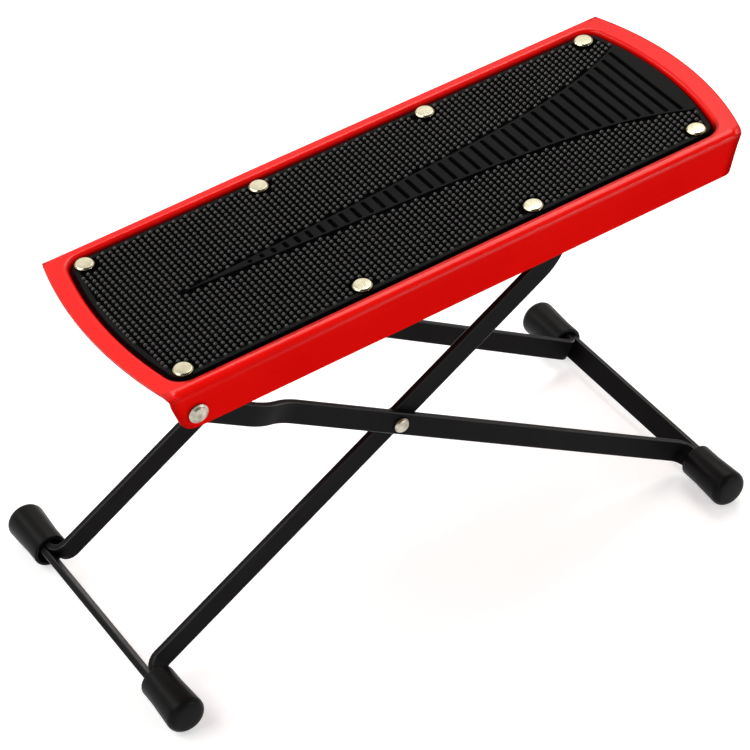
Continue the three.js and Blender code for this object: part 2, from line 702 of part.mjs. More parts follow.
// Rubber foot: a sleeve over tab and crossbar, its collar straight, then flaring to a domed end.
function footShape(leg) {
  const mouthRadius = footBoreRadius + FOOT_WALL;
  const widestRadius = mouthRadius + FOOT_FLARE;
  const shoulder = FOOT_LENGTH - FOOT_END_DOME - FOOT_END_RADIUS;
  const roundCentre = vector(widestRadius - FOOT_END_RADIUS, shoulder);
  const round = arcPoints(roundCentre, FOOT_END_RADIUS, 0, QUARTER_TURN, FOOT_END_STEPS);
  const profile = [
    [0, footDepth],
    [footBoreRadius, footDepth],
    [footBoreRadius, FOOT_LIP_RADIUS],
    [footBoreRadius + FOOT_LIP_RADIUS, 0],
    [mouthRadius - FOOT_LIP_RADIUS, 0],
    [mouthRadius, FOOT_LIP_RADIUS],
    [mouthRadius, FOOT_COLLAR_LENGTH],
    ...round.map((point) => [point.x, point.y]),
    [0, FOOT_LENGTH],
  ];
  return turned(profile, FOOT_STEPS).translate(leg.length, leg.mouthOut, 0);
}

function frameLegs(kind, leg, holes, footName) {
  return [NEAR, FAR].flatMap((side) => [
    onSide(side, piece(`${kind}_leg_${sideName(side)}`, legShape(leg, holes), BLACK_PAINT)),
    onSide(side, piece(`${footName}_foot_${sideName(side)}`, footShape(leg), FOOT_RUBBER)),
  ]);
}

// Pivots

function pivotPieces(name, sizes, innerOut, outerOut) {
  const washerOut = innerOut - SEAT_GAP;
  const tailOut = washerOut - WASHER_THICKNESS - SEAT_GAP;
  const rivetShape = rivet({
    head: sizes.head,
    shankRadius: sizes.shankRadius,
    tail: { radius: sizes.tailRadius, height: PIVOT_TAIL_HEIGHT },
    tailEnd: tailOut - PIVOT_TAIL_HEIGHT,
    headStart: outerOut + SEAT_GAP,
    steps: PIVOT_STEPS,
  });
  const boreRadius = sizes.shankRadius + HOLE_CLEARANCE;
  const washerShape = washer(boreRadius, sizes.washerRadius, washerOut - WASHER_THICKNESS, washerOut);
  return [NEAR, FAR].flatMap((side) => [
    onSide(side, piece(`${name}_rivet_${sideName(side)}`, rivetShape, RIVET_STEEL)),
    onSide(side, piece(`${name}_washer_${sideName(side)}`, washerShape, RIVET_STEEL)),
  ]);
}

function frontPivotPieces() {
  const sizes = {
    head: { radius: FRONT_HEAD_RADIUS, height: FRONT_HEAD_HEIGHT },
    shankRadius: FRONT_SHANK_RADIUS,
    tailRadius: FRONT_TAIL_RADIUS,
    washerRadius: FRONT_WASHER_RADIUS,
  };
  return pivotPieces('front_pivot', sizes, outerLegTopOut - BAR_THICKNESS, flangeOut);
}

function scissorPieces() {
  const sizes = {
    head: { radius: SCISSOR_HEAD_RADIUS, height: SCISSOR_HEAD_HEIGHT },
    shankRadius: SCISSOR_SHANK_RADIUS,
    tailRadius: SCISSOR_TAIL_RADIUS,
    washerRadius: SCISSOR_WASHER_RADIUS,
  };
  return pivotPieces('scissor', sizes, innerLegOut - BAR_THICKNESS, outerLegOut);
}

// Height rod: thick between the inner legs, a tenon through each and a peened head outside it.
function heightRodPiece() {
  const bodyEnd = innerLegTopOut - BAR_THICKNESS - SEAT_GAP;
  const headStart = innerLegTopOut + SEAT_GAP;
  const headEnd = headStart + ROD_HEAD_HEIGHT;
  const farHalf = [
    [ROD_RADIUS, bodyEnd],
    [ROD_TENON_RADIUS, bodyEnd],
    [ROD_TENON_RADIUS, headStart],
    [ROD_HEAD_RADIUS, headStart],
    [ROD_HEAD_RADIUS, headStart + ROD_HEAD_HEIGHT * HEAD_WALL_SHARE],
    [ROD_HEAD_RADIUS * HEAD_TOP_SHARE, headEnd],
    [0, headEnd],
  ];
  const nearHalf = farHalf.map(([radius, place]) => [radius, -place]).reverse();
  return piece('height_rod', turned([...nearHalf, ...farHalf], PIVOT_STEPS), RIVET_STEEL);
}

// Assembly

function group(position, rotationY, children) {
  const result = new THREE.Group();
  result.position.set(position.x, 0, position.y);
  result.rotation.y = rotationY;
  result.add(...children);
  return result;
}

const platform = group(vector(0, 0), 0, [
  platformTray(),
  rubberMat(),
  ...matRivetPlaces.map((place, i) => matRivet(place, i + 1)),
  heightRack(NEAR),
  heightRack(FAR),
]);

const frontPivots = group(frontPivot, 0, frontPivotPieces());

const outerFrame = group(frontPivot, outerLegAngle, [
  ...frameLegs('outer', outerLeg, [
    { x: 0, radius: FRONT_SHANK_RADIUS },
    { x: pivotToScissor, radius: SCISSOR_SHANK_RADIUS },
  ], 'rear'),
  piece('rear_crossbar', crossbarShape(outerLeg), BLACK_PAINT),
  group(vector(pivotToScissor, 0), 0, scissorPieces()),
]);

const innerFrame = group(heightRod, HALF_TURN - innerLegAngle, [
  ...frameLegs('inner', innerLeg, [
    { x: 0, radius: ROD_TENON_RADIUS },
    { x: scissorToRod, radius: SCISSOR_SHANK_RADIUS },
  ], 'front'),
  piece('front_crossbar', crossbarShape(innerLeg), BLACK_PAINT),
  heightRodPiece(),
]);

// The whole stand is tilted until its feet are level, then set on the floor over the origin.
const footrest = new THREE.Group();
footrest.add(group(vector(0, 0), -platformTilt, [platform, frontPivots, outerFrame, innerFrame]));
const bounds = new THREE.Box3().setFromObject(footrest, true);
footrest.position.set(-(bounds.min.x + bounds.max.x) / 2, 0, -bounds.min.z);

export default footrest;
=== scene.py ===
import json
import math

import bpy
import numpy as np
from mathutils import Matrix, Vector
from mathutils.geometry import tessellate_polygon


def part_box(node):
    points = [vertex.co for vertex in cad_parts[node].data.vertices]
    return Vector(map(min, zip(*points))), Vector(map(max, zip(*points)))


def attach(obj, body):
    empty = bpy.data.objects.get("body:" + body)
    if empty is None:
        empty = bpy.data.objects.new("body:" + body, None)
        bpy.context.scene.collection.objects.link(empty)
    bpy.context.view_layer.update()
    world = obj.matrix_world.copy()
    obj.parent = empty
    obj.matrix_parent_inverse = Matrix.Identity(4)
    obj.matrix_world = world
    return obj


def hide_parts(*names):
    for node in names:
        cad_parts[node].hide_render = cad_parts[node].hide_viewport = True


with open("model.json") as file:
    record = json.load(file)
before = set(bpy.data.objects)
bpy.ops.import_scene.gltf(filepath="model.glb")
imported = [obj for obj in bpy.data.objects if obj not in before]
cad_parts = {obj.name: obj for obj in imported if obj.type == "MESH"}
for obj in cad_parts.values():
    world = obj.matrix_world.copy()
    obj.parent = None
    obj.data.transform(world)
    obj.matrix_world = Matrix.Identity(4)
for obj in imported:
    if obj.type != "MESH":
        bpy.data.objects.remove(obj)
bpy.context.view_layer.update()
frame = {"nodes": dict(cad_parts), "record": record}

# Lengths are in millimetres until a mesh is made. The tray's own frame has its top face at z = 0,
# its front at -X and its far side at +Y.

MM = 0.001
FAR = 1
NEAR = -1
SEAT_GAP = 0.3  # between pieces that seat on each other
QUARTER_TURN = math.pi / 2

# Tray, its sheet and flanges
TRAY_LENGTH = 287.6  # between its front and rear corners
TRAY_HALF = 55.0
EDGE_OUT = 55.5  # how far out the rolled edges reach
SHEET = 1.2
FLANGE_DEPTH = 21.2
FLANGE_TOP_Z = -3.0
LEAN_END_Z = -8.0  # the flanges hang straight below this
FRONT_CORNER_X = -TRAY_LENGTH / 2
REAR_CORNER_X = TRAY_LENGTH / 2
FRONT_X = -151.0
REAR_X = 154.4
SHEET_BEVEL = 0.3
SHEET_BEVEL_ANGLE = math.radians(70)

# Ends of the tray: their bow, the lean of the flanges, the radius of the flanges' lower corners
# and how much the corners are eased
FRONT_END = {"bulge": 7.3, "slant": 5.2, "radius": 8.3, "easing": 0.45}
REAR_END = {"bulge": 10.2, "slant": 6.3, "radius": 2.5, "easing": 0.1}
EASE_RUN = 1.4  # inward from the edge

# Rolled edges: a wide arc, then a crest that is firm at the rear and soft at the front
ROLL_RADIUS = {NEAR: 5.3, FAR: 2.6}
ROLL_TILT = math.radians(38)
CREST_TILT = math.radians(95)
CREST_RADIUS = 0.9  # where it is firm
CREST_SOFTENING = 1.9  # added where it is soft
CREST_DULLING = 0.8  # polish lost where it is soft
LEAST_BEND = 0.15
SOFT_START_X = -20.0
SOFT_RUN = 105.0  # forward from there to where the crest is softest

# Recess for the mat: insets from the tray's sides and ends, then its shoulder
RECESS_SIDE_INSET = 6.9
RECESS_FRONT_INSET = 9.9
RECESS_REAR_INSET = 11.1
RECESS_CORNER = 8.0
RECESS_FRONT_BULGE = 6.2
RECESS_REAR_BULGE = 7.4
RECESS_DEPTH = 3.0
SHOULDER_TILT = math.radians(60)
SHOULDER_LOW_RADIUS = 1.8
SHOULDER_TOP_RADIUS = 2.2
SHOULDER_FOOT = -0.9  # outward from the recess's outline
FLOOR_BAND = 0.6  # strip of floor inside the shoulder
RIM_BAND = 0.4  # strip of flat rim around the shoulder
OUTER_BAND = 0.7  # strip of flat rim along the tray's edge
POLISH_FALL = 2.0  # polish lost per depth of the recess

# Painted shade on the shoulder: darkest at its foot, and spread further up along the near side
SHADE_TOP_Z = -1.05
SHADE_RUN = 1.4
NEAR_SHADE_REACH = 8.0  # from the near side of the recess
NEAR_SHADE_FADE = 6.0
NEAR_SHADE_RISE = 1.8  # inward from the shoulder's top to where it is darkest

# Mat
MAT_SIDE_GAP = 1.2  # from the recess's outline
MAT_FRONT_GAP = 1.1
MAT_REAR_GAP = 0.4
MAT_BOTTOM_Z = SEAT_GAP - RECESS_DEPTH
MAT_TOP_Z = -0.9
MAT_EDGE_RADIUS = 0.45
FIELD_LIFT = 0.03  # of the sheet of painted shade between the pebbles and in the tread's grooves
FIELD_MARGIN = 2.2

# Tread: it starts at a tip, flares towards the rear and has cross grooves
TREAD_TOP_Z = -0.3
TREAD_ROOT = 0.5  # how deep it reaches into the mat
TREAD_SHIFT = 0.6  # its centre line lies a little to the far side
TREAD_TIP_INSET = 39.0
TREAD_TIP_X = FRONT_CORNER_X + TREAD_TIP_INSET
TREAD_TIP_OVERRUN = 0.5
TREAD_TAPER = 15.2  # half width that it gains evenly
TREAD_FLARE = 18.8  # half width that it gains mostly at the rear
TREAD_FLARE_POWER = 7.5
TREAD_SIDE_MARGIN = 0.9  # from the mat's rear end
TREAD_REAR_MARGIN = 0.8
TREAD_BEVEL = 0.22
GROOVES = 36
GROOVE_WIDTH = 2.1
FIRST_GROOVE_FROM_TIP = 32.35
LAST_GROOVE_INSET = 10.45
FIRST_GROOVE_X = TREAD_TIP_X + FIRST_GROOVE_FROM_TIP
LAST_GROOVE_X = REAR_CORNER_X - LAST_GROOVE_INSET
GROOVE_LAND = 1.3  # tread left beyond the end of a long groove
GROOVE_FADE = 1.0  # half width at which half of that is left
GROOVE_TRIM = 0.02
GROOVE_ROUNDING = 0.9  # radius of its corners, as a share of its half width

# Pebbles: staggered nubs, each as rings of (share of its radius, share of its height)
PEBBLE_COLUMN = 2.92
PEBBLE_ROW = 2.83
PEBBLE_COLUMNS = 49  # each way from the middle
PEBBLE_ROWS = 18
PEBBLE_SHIFT = 0.7
PEBBLE_RADIUS = 1.0
PEBBLE_HEIGHT = 0.95
PEBBLE_RINGS = ((1.0, 0.0), (0.66, 0.62), (0.28, 0.93))
PEBBLE_SINK = 0.02
PEBBLE_MARGIN = 1.9  # from the mat's outline to the nearest centres
PEBBLE_TO_TREAD = 1.35
PEBBLE_TO_TIP = 1.3
PEBBLE_TO_RIVET = 5.6

# Linkage between pivot centres, with lengths as shares of the tray's
PIVOT_INSET = 12.0
PIVOT_DEPTH = 13.7
PIVOT_TO_SCISSOR_SHARE = 0.4089
SCISSOR_TO_REAR_FOOT_SHARE = 0.6453
ROD_TO_SCISSOR_SHARE = 0.4725
SCISSOR_TO_FRONT_FOOT_SHARE = 0.5316
OUTER_LENGTH = TRAY_LENGTH * (PIVOT_TO_SCISSOR_SHARE + SCISSOR_TO_REAR_FOOT_SHARE)
INNER_LENGTH = TRAY_LENGTH * (ROD_TO_SCISSOR_SHARE + SCISSOR_TO_FRONT_FOOT_SHARE)

# Flat bar of legs and crossbars, and how far out from the centre plane the legs stand
BAR_WIDTH = 10.7
BAR = 3.0
BAR_EDGE_RADIUS = 0.55
FULL_ROUND = 0.98  # the largest edge radius, as a share of half the bar
SHARPEST_MITRE = 0.5
OUTER_TOP_OUT = 53.5
OUTER_OUT = 47.3
INNER_OUT = 44.0
INNER_TOP_OUT = 38.5
OUTER_JOGGLE_START = 36.0
INNER_JOGGLE_START = 25.0
JOGGLE_RUN = 16.0
JOGGLE_RADIUS = 34.0
FOOT_BEND_RADIUS = 6.5

# Rubber feet
HOLE_CLEARANCE = 0.2
FOOT_BORE = math.hypot(BAR_WIDTH / 2, BAR + SEAT_GAP / 2) + HOLE_CLEARANCE
FOOT_LENGTH = 28.0
FOOT_DEPTH = 25.4
MOUTH_FROM_LEG = 5.5
FOOT_WALL = 1.8
FOOT_FLARE = 1.0
FOOT_COLLAR_LENGTH = 9.0
FOOT_LIP_RADII = (0.55, 0.75)
FOOT_END_RADIUS = 3.4
FOOT_END_DOME = 0.7
FOOT_DOME_SHARE = 0.45  # of the end's radius, where half of the dome is reached

# Rivets: the crown as (radius, height over its seat, fillet) corners from rim to top, then the
# radii of shank and tail, and where tail and head start
MAT_RIVET = {
    "crown": ((4.4, 0.6, 0.25), (3.7, 1.17, 0.3), (1.76, 1.2, 0)),
    "shank": 2.0, "tail": 3.1, "tail_height": 0.7,
}
FRONT_RIVET = {
    "crown": ((4.55, 0.75, 0.3), (3.7, 0.95, 0.3), (2.9, 1.7, 0.7), (1.5, 1.8, 0)),
    "shank": 2.5, "tail": 3.8, "tail_height": 1.2, "tail_start": 49.1, "head_start": 55.3,
}
SCISSOR_RIVET = {
    "crown": ((3.6, 0.9, 0.25), (3.0, 1.77, 0.4), (1.44, 1.8, 0)),
    "shank": 2.2, "tail": 3.3, "tail_height": 1.2, "tail_start": 39.6, "head_start": 47.6,
}
TAIL_FLAT = 0.8  # of the tail's radius
TAIL_WALL = 0.45  # of the tail's height
TAIL_FILLETS = (0.3, 0.2)
CROWN_SHADE_EDGE = 0.93  # share of the crown's radius at which the painted shade of its rim is full
CROWN_SHADE_RUN = 0.13
RIVETS_PER_SIDE = 4
RACK_RIVETS = 2  # of them, counted from the rear, also hold a rack
RIVET_FRONT_INSET = 14.1
RIVET_REAR_INSET = 14.45
RIVET_SIDE_INSET = 12.6
RIVET_XS = np.linspace(
    FRONT_CORNER_X + RIVET_FRONT_INSET, REAR_CORNER_X - RIVET_REAR_INSET, RIVETS_PER_SIDE,
)
RIVET_Y = TRAY_HALF - RIVET_SIDE_INSET
RACK_SHEET = 1.5
PAN_UNDERSIDE_Z = -RECESS_DEPTH - SHEET
RACK_UNDERSIDE_Z = PAN_UNDERSIDE_Z - SEAT_GAP - RACK_SHEET

# Steps of the rounded forms
FILLET_STEPS = 5
BEND_STEPS = 8
BAR_EDGE_STEPS = 4
BAR_HEAD_STEPS = 10
FOOT_STEPS = 64
RIVET_STEPS = 48
BOW_STEPS = 40
CORNER_STEPS = 10
SIDE_STEPS = 60
TRAY_COLUMNS = 56
ROLL_STEPS = 8
CREST_STEPS = 8
LEAN_STEPS = 4
HANG_STEPS = 11
SHOULDER_STEPS = 6
TRAY_END_STEPS = 48
MAT_EDGE_STEPS = 5
PEBBLE_SIDES = 8
GROOVE_CORNER_STEPS = 4
TREAD_SIDE_STEPS = 59
TREAD_SIDE_SPACING = 0.8  # a power that draws the steps together at the rear
TREAD_END_STEPS = 23


def clamped(share):
    return min(1.0, max(0.0, share))


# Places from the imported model

joints = {joint["name"]: joint for joint in frame["record"]["behaviour"]["joints"]}
front_pivot = Vector(joints["platform_fold"]["pos_m"]) / MM
scissor = Vector(joints["scissor"]["pos_m"]) / MM
rod_low, rod_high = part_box("height_rod")
height_rod = (rod_low + rod_high) / 2 / MM
normal = Vector(frame["record"]["mounts"][0]["axis"])
tilt = math.atan2(-normal.x, normal.z)


def placed(origin, angle):
    return Matrix.Translation(origin) @ Matrix.Rotation(angle, 4, "Y")


def down_angle(start, end):
    return math.atan2(start.z - end.z, end.x - start.x)


tray_turn = Matrix.Rotation(-tilt, 4, "Y")
pivot_in_tray = Vector((FRONT_CORNER_X + PIVOT_INSET, 0, -PIVOT_DEPTH))
tray_place = placed(front_pivot - tray_turn @ pivot_in_tray, -tilt)
outer_place = placed(front_pivot, down_angle(front_pivot, scissor))
inner_place = placed(height_rod, down_angle(height_rod, scissor))
scissor_place = placed(scissor, down_angle(front_pivot, scissor))
near_turn = Matrix.Rotation(math.pi, 4, "X")


def on_side(place, side):
    return place @ near_turn if side == NEAR else place


def side_name(side):
    return "near" if side == NEAR else "far"


# Materials


class Shader:
    """A material's node tree, with short calls for the nodes that the surfaces share."""

    def __init__(self, name):
        self.material = bpy.data.materials.new(name)
        self.material.use_nodes = True
        self.nodes = self.material.node_tree.nodes
        self.links = self.material.node_tree.links
        self.surface = self.nodes["Principled BSDF"]
        self.place = self.nodes.new("ShaderNodeTexCoord").outputs["Object"]

    def set(self, **values):
        for name, value in values.items():
            self.surface.inputs[name.replace("_", " ")].default_value = value

    def link(self, output, target):
        self.links.new(output, self.surface.inputs[target])

    def noise(self, scale, detail=3.0, roughness=0.5, stretch=(1, 1, 1)):
        mapping = self.nodes.new("ShaderNodeMapping")
        mapping.inputs["Scale"].default_value = stretch
        self.links.new(self.place, mapping.inputs["Vector"])
        node = self.nodes.new("ShaderNodeTexNoise")
        node.inputs["Scale"].default_value = scale
        node.inputs["Detail"].default_value = detail
        node.inputs["Roughness"].default_value = roughness
        self.links.new(mapping.outputs["Vector"], node.inputs["Vector"])
        return node.outputs["Fac"]

    def layer(self, name):
        """A layer that the mesh has, from 0 to 1: how polished the surface is, and in the shade layer how
        much painted shade it has.
        """
        node = self.nodes.new("ShaderNodeAttribute")
        node.attribute_name = name
        return node.outputs["Fac"]

    def ramp(self, value, stops):
        node = self.nodes.new("ShaderNodeValToRGB")
        ramp = node.color_ramp
        while len(ramp.elements) < len(stops):
            ramp.elements.new(0.5)
        for element, (place, color) in zip(ramp.elements, stops):
            element.position = place
            element.color = (*color, 1)
        self.links.new(value, node.inputs["Fac"])
        return node.outputs["Color"]

    def between(self, value, low, high, from_low=0.3, from_high=0.7):
        """A value mapped to run from low to high, by default over the middle range of a noise."""
        node = self.nodes.new("ShaderNodeMapRange")
        for name, number in (
            ("From Min", from_low), ("From Max", from_high), ("To Min", low), ("To Max", high),
        ):
            node.inputs[name].default_value = number
        self.links.new(value, node.inputs["Value"])
        return node.outputs["Result"]

    def mix(self, factor, first, second):
        """Two colors, each a socket or three numbers, mixed by a factor's socket."""
        node = self.nodes.new("ShaderNodeMix")
        node.data_type = "RGBA"
        self.links.new(factor, node.inputs[0])
        for socket, color in ((node.inputs[6], first), (node.inputs[7], second)):
            if isinstance(color, bpy.types.NodeSocket):
                self.links.new(color, socket)
            else:
                socket.default_value = (*color, 1)
        return node.outputs[2]

    def bump(self, height, strength, distance, under=None):
        node = self.nodes.new("ShaderNodeBump")
        node.inputs["Strength"].default_value = strength
        node.inputs["Distance"].default_value = distance * MM
        self.links.new(height, node.inputs["Height"])
        if under is not None:
            self.links.new(under, node.inputs["Normal"])
        return node.outputs["Normal"]

    def edges(self, from_low=0.52, from_high=0.6):
        """Convex edges, where paint wears."""
        pointed = self.nodes.new("ShaderNodeNewGeometry").outputs["Pointiness"]
        return self.between(pointed, 0.0, 1.0, from_low, from_high)


def red_paint():
    s = Shader("red_paint")
    cloud = s.noise(14, detail=2)
    fine = s.noise(900, detail=2)
    peel = s.noise(260, detail=2, roughness=0.4)
    color = s.ramp(cloud, [(0.3, (0.77, 0.0020, 0.0012)), (0.7, (0.85, 0.0036, 0.0020))])
    scratches = s.between(
        s.noise(120, detail=4, roughness=0.6), 0.0, 0.5, from_low=0.62, from_high=0.75,
    )
    worn = s.mix(scratches, color, (0.82, 0.05, 0.03))
    clean = s.mix(s.edges(from_low=0.56, from_high=0.72), color, worn)
    fine_bump = s.bump(fine, 0.05, 0.05)
    # Painted shade: the red darkens to near black at the foot of the recess's shoulder and high up along its
    # near side.
    s.link(s.mix(s.layer("painted_shade"), clean, (0.02, 0.001, 0.001)), "Base Color")
    s.link(s.between(fine, 0.27, 0.36), "Roughness")
    s.link(s.bump(peel, 0.05, 0.25, under=fine_bump), "Normal")
    s.link(s.between(s.layer("polish"), 0.0, 0.55, from_low=0.0, from_high=1.0), "Coat Weight")
    s.set(Metallic=0.0, Specular_IOR_Level=0.01, Coat_Roughness=0.2, Coat_IOR=1.5)
    return s.material


def black_paint():
    s = Shader("black_paint")
    texture = s.noise(1600, detail=2, roughness=0.6)
    cloud = s.noise(30)
    color = s.ramp(cloud, [(0.3, (0.0070, 0.0068, 0.0080)), (0.7, (0.0108, 0.0106, 0.0120))])
    scuff = s.between(
        s.noise(90, detail=5, roughness=0.7, stretch=(1, 1, 4)), 0.0, 0.35,
        from_low=0.6, from_high=0.72,
    )
    worn = s.mix(scuff, color, (0.05, 0.05, 0.052))
    s.link(s.mix(s.edges(), color, worn), "Base Color")
    s.link(s.between(cloud, 0.40, 0.50), "Roughness")
    s.link(s.bump(texture, 0.18, 0.05), "Normal")
    s.link(s.between(s.layer("polish"), 0.01, 1.0, from_low=0.0, from_high=1.0), "Coat Weight")
    s.set(Metallic=0.0, Specular_IOR_Level=0.03, Coat_Roughness=0.15, Coat_IOR=1.5)
    return s.material


def plated_steel():
    s = Shader("rivet_steel")
    grain = s.noise(700, roughness=0.6)
    cloud = s.noise(220)
    crown = s.ramp(cloud, [
        (0.25, (0.66, 0.61, 0.46)), (0.6, (0.76, 0.72, 0.56)), (0.8, (0.84, 0.82, 0.68)),
    ])
    # The rim of each crown is painted tan as painted shade on its rounded edge; where the layer is 1, in the
    # middle, the crown keeps its own colour.
    s.link(s.mix(s.layer("polish"), (0.40, 0.34, 0.22), crown), "Base Color")
    s.link(s.between(grain, 0.12, 0.22), "Roughness")
    s.link(s.bump(grain, 0.12, 0.05), "Normal")
    s.set(Metallic=1.0)
    return s.material


def pivot_steel():
    s = Shader("pivot_steel")
    grain = s.noise(500, roughness=0.6, stretch=(1, 3, 1))
    cloud = s.noise(260)
    color = s.ramp(cloud, [
        (0.3, (0.26, 0.24, 0.19)), (0.55, (0.50, 0.47, 0.39)), (0.75, (0.66, 0.63, 0.53)),
    ])
    s.link(color, "Base Color")
    s.link(s.between(grain, 0.25, 0.42), "Roughness")
    s.link(s.bump(grain, 0.25, 0.06), "Normal")
    s.set(Metallic=1.0)
    return s.material


def rubber(name, low, high, rough, specular):
    s = Shader(name)
    rough_spread = 0.06
    grain = s.noise(1500, roughness=0.6)
    cloud = s.noise(45)
    color = s.ramp(cloud, [(0.3, low), (0.7, high)])
    dust = s.between(
        s.noise(160, detail=5, roughness=0.7), 0.0, 0.2, from_low=0.55, from_high=0.75,
    )
    cloud_bump = s.bump(cloud, 0.04, 0.4)
    s.link(s.mix(dust, color, (0.018, 0.0175, 0.017)), "Base Color")
    s.link(s.between(grain, rough - rough_spread, rough + rough_spread), "Roughness")
    s.link(s.bump(grain, 0.13, 0.05, under=cloud_bump), "Normal")
    s.set(Metallic=0.0, Specular_IOR_Level=specular)
    return s.material


materials = {
    "red_paint": red_paint(),
    "black_paint": black_paint(),
    "rivet_steel": plated_steel(),
    "mat_rubber": rubber("mat_rubber", (0.0048, 0.0048, 0.0056), (0.0072, 0.0072, 0.0082), 0.5, 0.04),
    "foot_rubber": rubber("foot_rubber", (0.0040, 0.0040, 0.0046), (0.0060, 0.0060, 0.0066), 0.38, 0.08),
}
pivot_metal = pivot_steel()
# A darker copy of the mat rubber without reflection, for the painted shade between the pebbles.
shaded_rubber = rubber("shaded_rubber", (0.0012, 0.0012, 0.0014), (0.0022, 0.0022, 0.0024), 0.6, 0.0)
# A glossier copy of the mat rubber whose colour is lighter than the mat's as painted light on the pebbles.
pebble_rubber = rubber("pebble_rubber", (0.0066, 0.0066, 0.0080), (0.0104, 0.0104, 0.0124), 0.3, 0.9)

slots = {entry["node"]: entry["material_slot"] for entry in frame["record"]["subparts"]}
for node, thing in frame["nodes"].items():
    for slot in thing.material_slots:
        slot.material = materials[slots[node]]


# Meshes


def made(name, verts, faces, place, body, replaces, sharp, weighted=False, finish=None, **layers):
    """A mesh in metres in the shared frame, that stands for CAD nodes and rides on their body. Its
    edges are sharp over an angle in degrees, or none are where that is 0."""
    points = [(place @ Vector(v)) * MM for v in verts]
    mesh = bpy.data.meshes.new(name)
    mesh.from_pydata(points, [], [list(face) for face in faces])
    mesh.validate()
    mesh.update()
    thing = bpy.data.objects.new(name, mesh)
    bpy.context.scene.collection.objects.link(thing)
    mesh.materials.append(finish or materials[slots[replaces[0]]])
    for layer, values in layers.items():
        mesh.attributes.new(layer, "FLOAT", "POINT").data.foreach_set("value", values)
    mesh.shade_smooth()
    if sharp:
        mesh.set_sharp_from_angle(angle=math.radians(sharp))
    if weighted:
        modifier = thing.modifiers.new("normals", "WEIGHTED_NORMAL")
        modifier.keep_sharp = True
    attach(thing, body)
    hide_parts(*replaces)
    return thing


def bake(thing):
    """Applies an object's modifiers to its mesh."""
    view = bpy.context.evaluated_depsgraph_get()
    mesh = bpy.data.meshes.new_from_object(thing.evaluated_get(view))
    thing.modifiers.clear()
    thing.data = mesh


def lathe(profile, steps):
    """Turned about Y from (radius, place) points, both ends on the axis."""
    verts, faces = [(0, profile[0][1], 0)], []
    for radius, place in profile[1:-1]:
        for i in range(steps):
            angle = 2 * math.pi * i / steps
            verts.append((radius * math.sin(angle), place, radius * math.cos(angle)))
    verts.append((0, profile[-1][1], 0))
    rings = len(profile) - 2
    for i in range(steps):
        j = (i + 1) % steps
        faces.append((0, 1 + j, 1 + i))
        for ring in range(rings - 1):
            a = 1 + ring * steps
            faces.append((a + i, a + j, a + steps + j, a + steps + i))
        last = 1 + (rings - 1) * steps
        faces.append((last + i, last + j, len(verts) - 1))
    return verts, faces


def fillet(before, corner, after, radius, steps):
    """The centre of the arc that rounds a corner, and the angles along it."""
    before, corner, after = Vector(before), Vector(corner), Vector(after)
    back, ahead = (before - corner).normalized(), (after - corner).normalized()
    half = back.angle(ahead) / 2
    reach = radius / math.tan(half)
    start, end = corner + back * reach, corner + ahead * reach
    centre = corner + (back + ahead).normalized() * (radius / math.sin(half))
    first = math.atan2(start.y - centre.y, start.x - centre.x)
    turn = math.atan2(end.y - centre.y, end.x - centre.x) - first
    turn = (turn + math.pi) % (2 * math.pi) - math.pi
    return centre, [first + turn * step / steps for step in range(steps + 1)]


def rounded(corners):
    """A profile from (radius, place, fillet) corners, with an arc at each corner that has a fillet."""
    points = []
    for i, (x, y, radius) in enumerate(corners):
        if not radius:
            points.append((x, y))
            continue
        centre, angles = fillet(corners[i - 1][:2], (x, y), corners[i + 1][:2], radius, FILLET_STEPS)
        points += [(centre.x + radius * math.cos(a), centre.y + radius * math.sin(a)) for a in angles]
    return points


def skin(rings):
    """Quads between closed rings of equally many points, with a face at each end."""
    count = len(rings[0])
    verts = [tuple(point) for ring in rings for point in ring]
    faces = []
    for ring in range(len(rings) - 1):
        for i in range(count):
            a = ring * count + i
            b = ring * count + (i + 1) % count
            faces.append((a, b, b + count, a + count))
    faces.append(tuple(reversed(range(count))))
    faces.append(tuple(range(len(verts) - count, len(verts))))
    return verts, faces


# Legs, crossbars and feet


def bar_section(half_wide):
    """The bar's cross section, with rounded edges."""
    half_thick = BAR / 2
    radius = min(BAR_EDGE_RADIUS, half_thick * FULL_ROUND, half_wide * FULL_ROUND)
    points = []
    for corner, (su, sv) in enumerate(((1, 1), (-1, 1), (-1, -1), (1, -1))):
        for step in range(BAR_EDGE_STEPS + 1):
            angle = QUARTER_TURN * (corner + step / BAR_EDGE_STEPS)
            points.append((
                su * (half_thick - radius) + radius * math.cos(angle),
                sv * (half_wide - radius) + radius * math.sin(angle),
            ))
    return points


def bent_line(corners, radii):
    """A line through corners, with an arc at each corner between its ends."""
    points = [Vector(corners[0])]
    for i, radius in enumerate(radii):
        centre, angles = fillet(*corners[i:i + 3], radius, BEND_STEPS)
        points += [centre + radius * Vector((math.cos(a), math.sin(a))) for a in angles]
    points.append(Vector(corners[-1]))
    return points


def bar_along(line, widths):
    """A bar along a line, with half its width at each point."""
    rings = []
    for i, point in enumerate(line):
        before = (point - line[i - 1]).normalized() if i else (line[1] - point).normalized()
        after = (line[i + 1] - point).normalized() if i + 1 < len(line) else before
        run = (before + after).normalized()
        side = Vector((-run.y, run.x)) / max(SHARPEST_MITRE, run.dot(before))
        rings.append([
            (point.x + side.x * u, point.y + side.y * u, v) for u, v in bar_section(widths[i])
        ])
    return skin(rings)


def bar(name, node, body, place, line, widths):
    """A bar whose rounded edges are each polished most along their middle."""
    verts, faces = bar_along(line, widths)
    turn = [math.sin(math.pi * step / BAR_EDGE_STEPS) for step in range(BAR_EDGE_STEPS + 1)]
    polish = [turn[i % len(turn)] for i in range(len(verts))]
    made(name, verts, faces, place, body, [node], sharp=40, weighted=True, polish=polish)


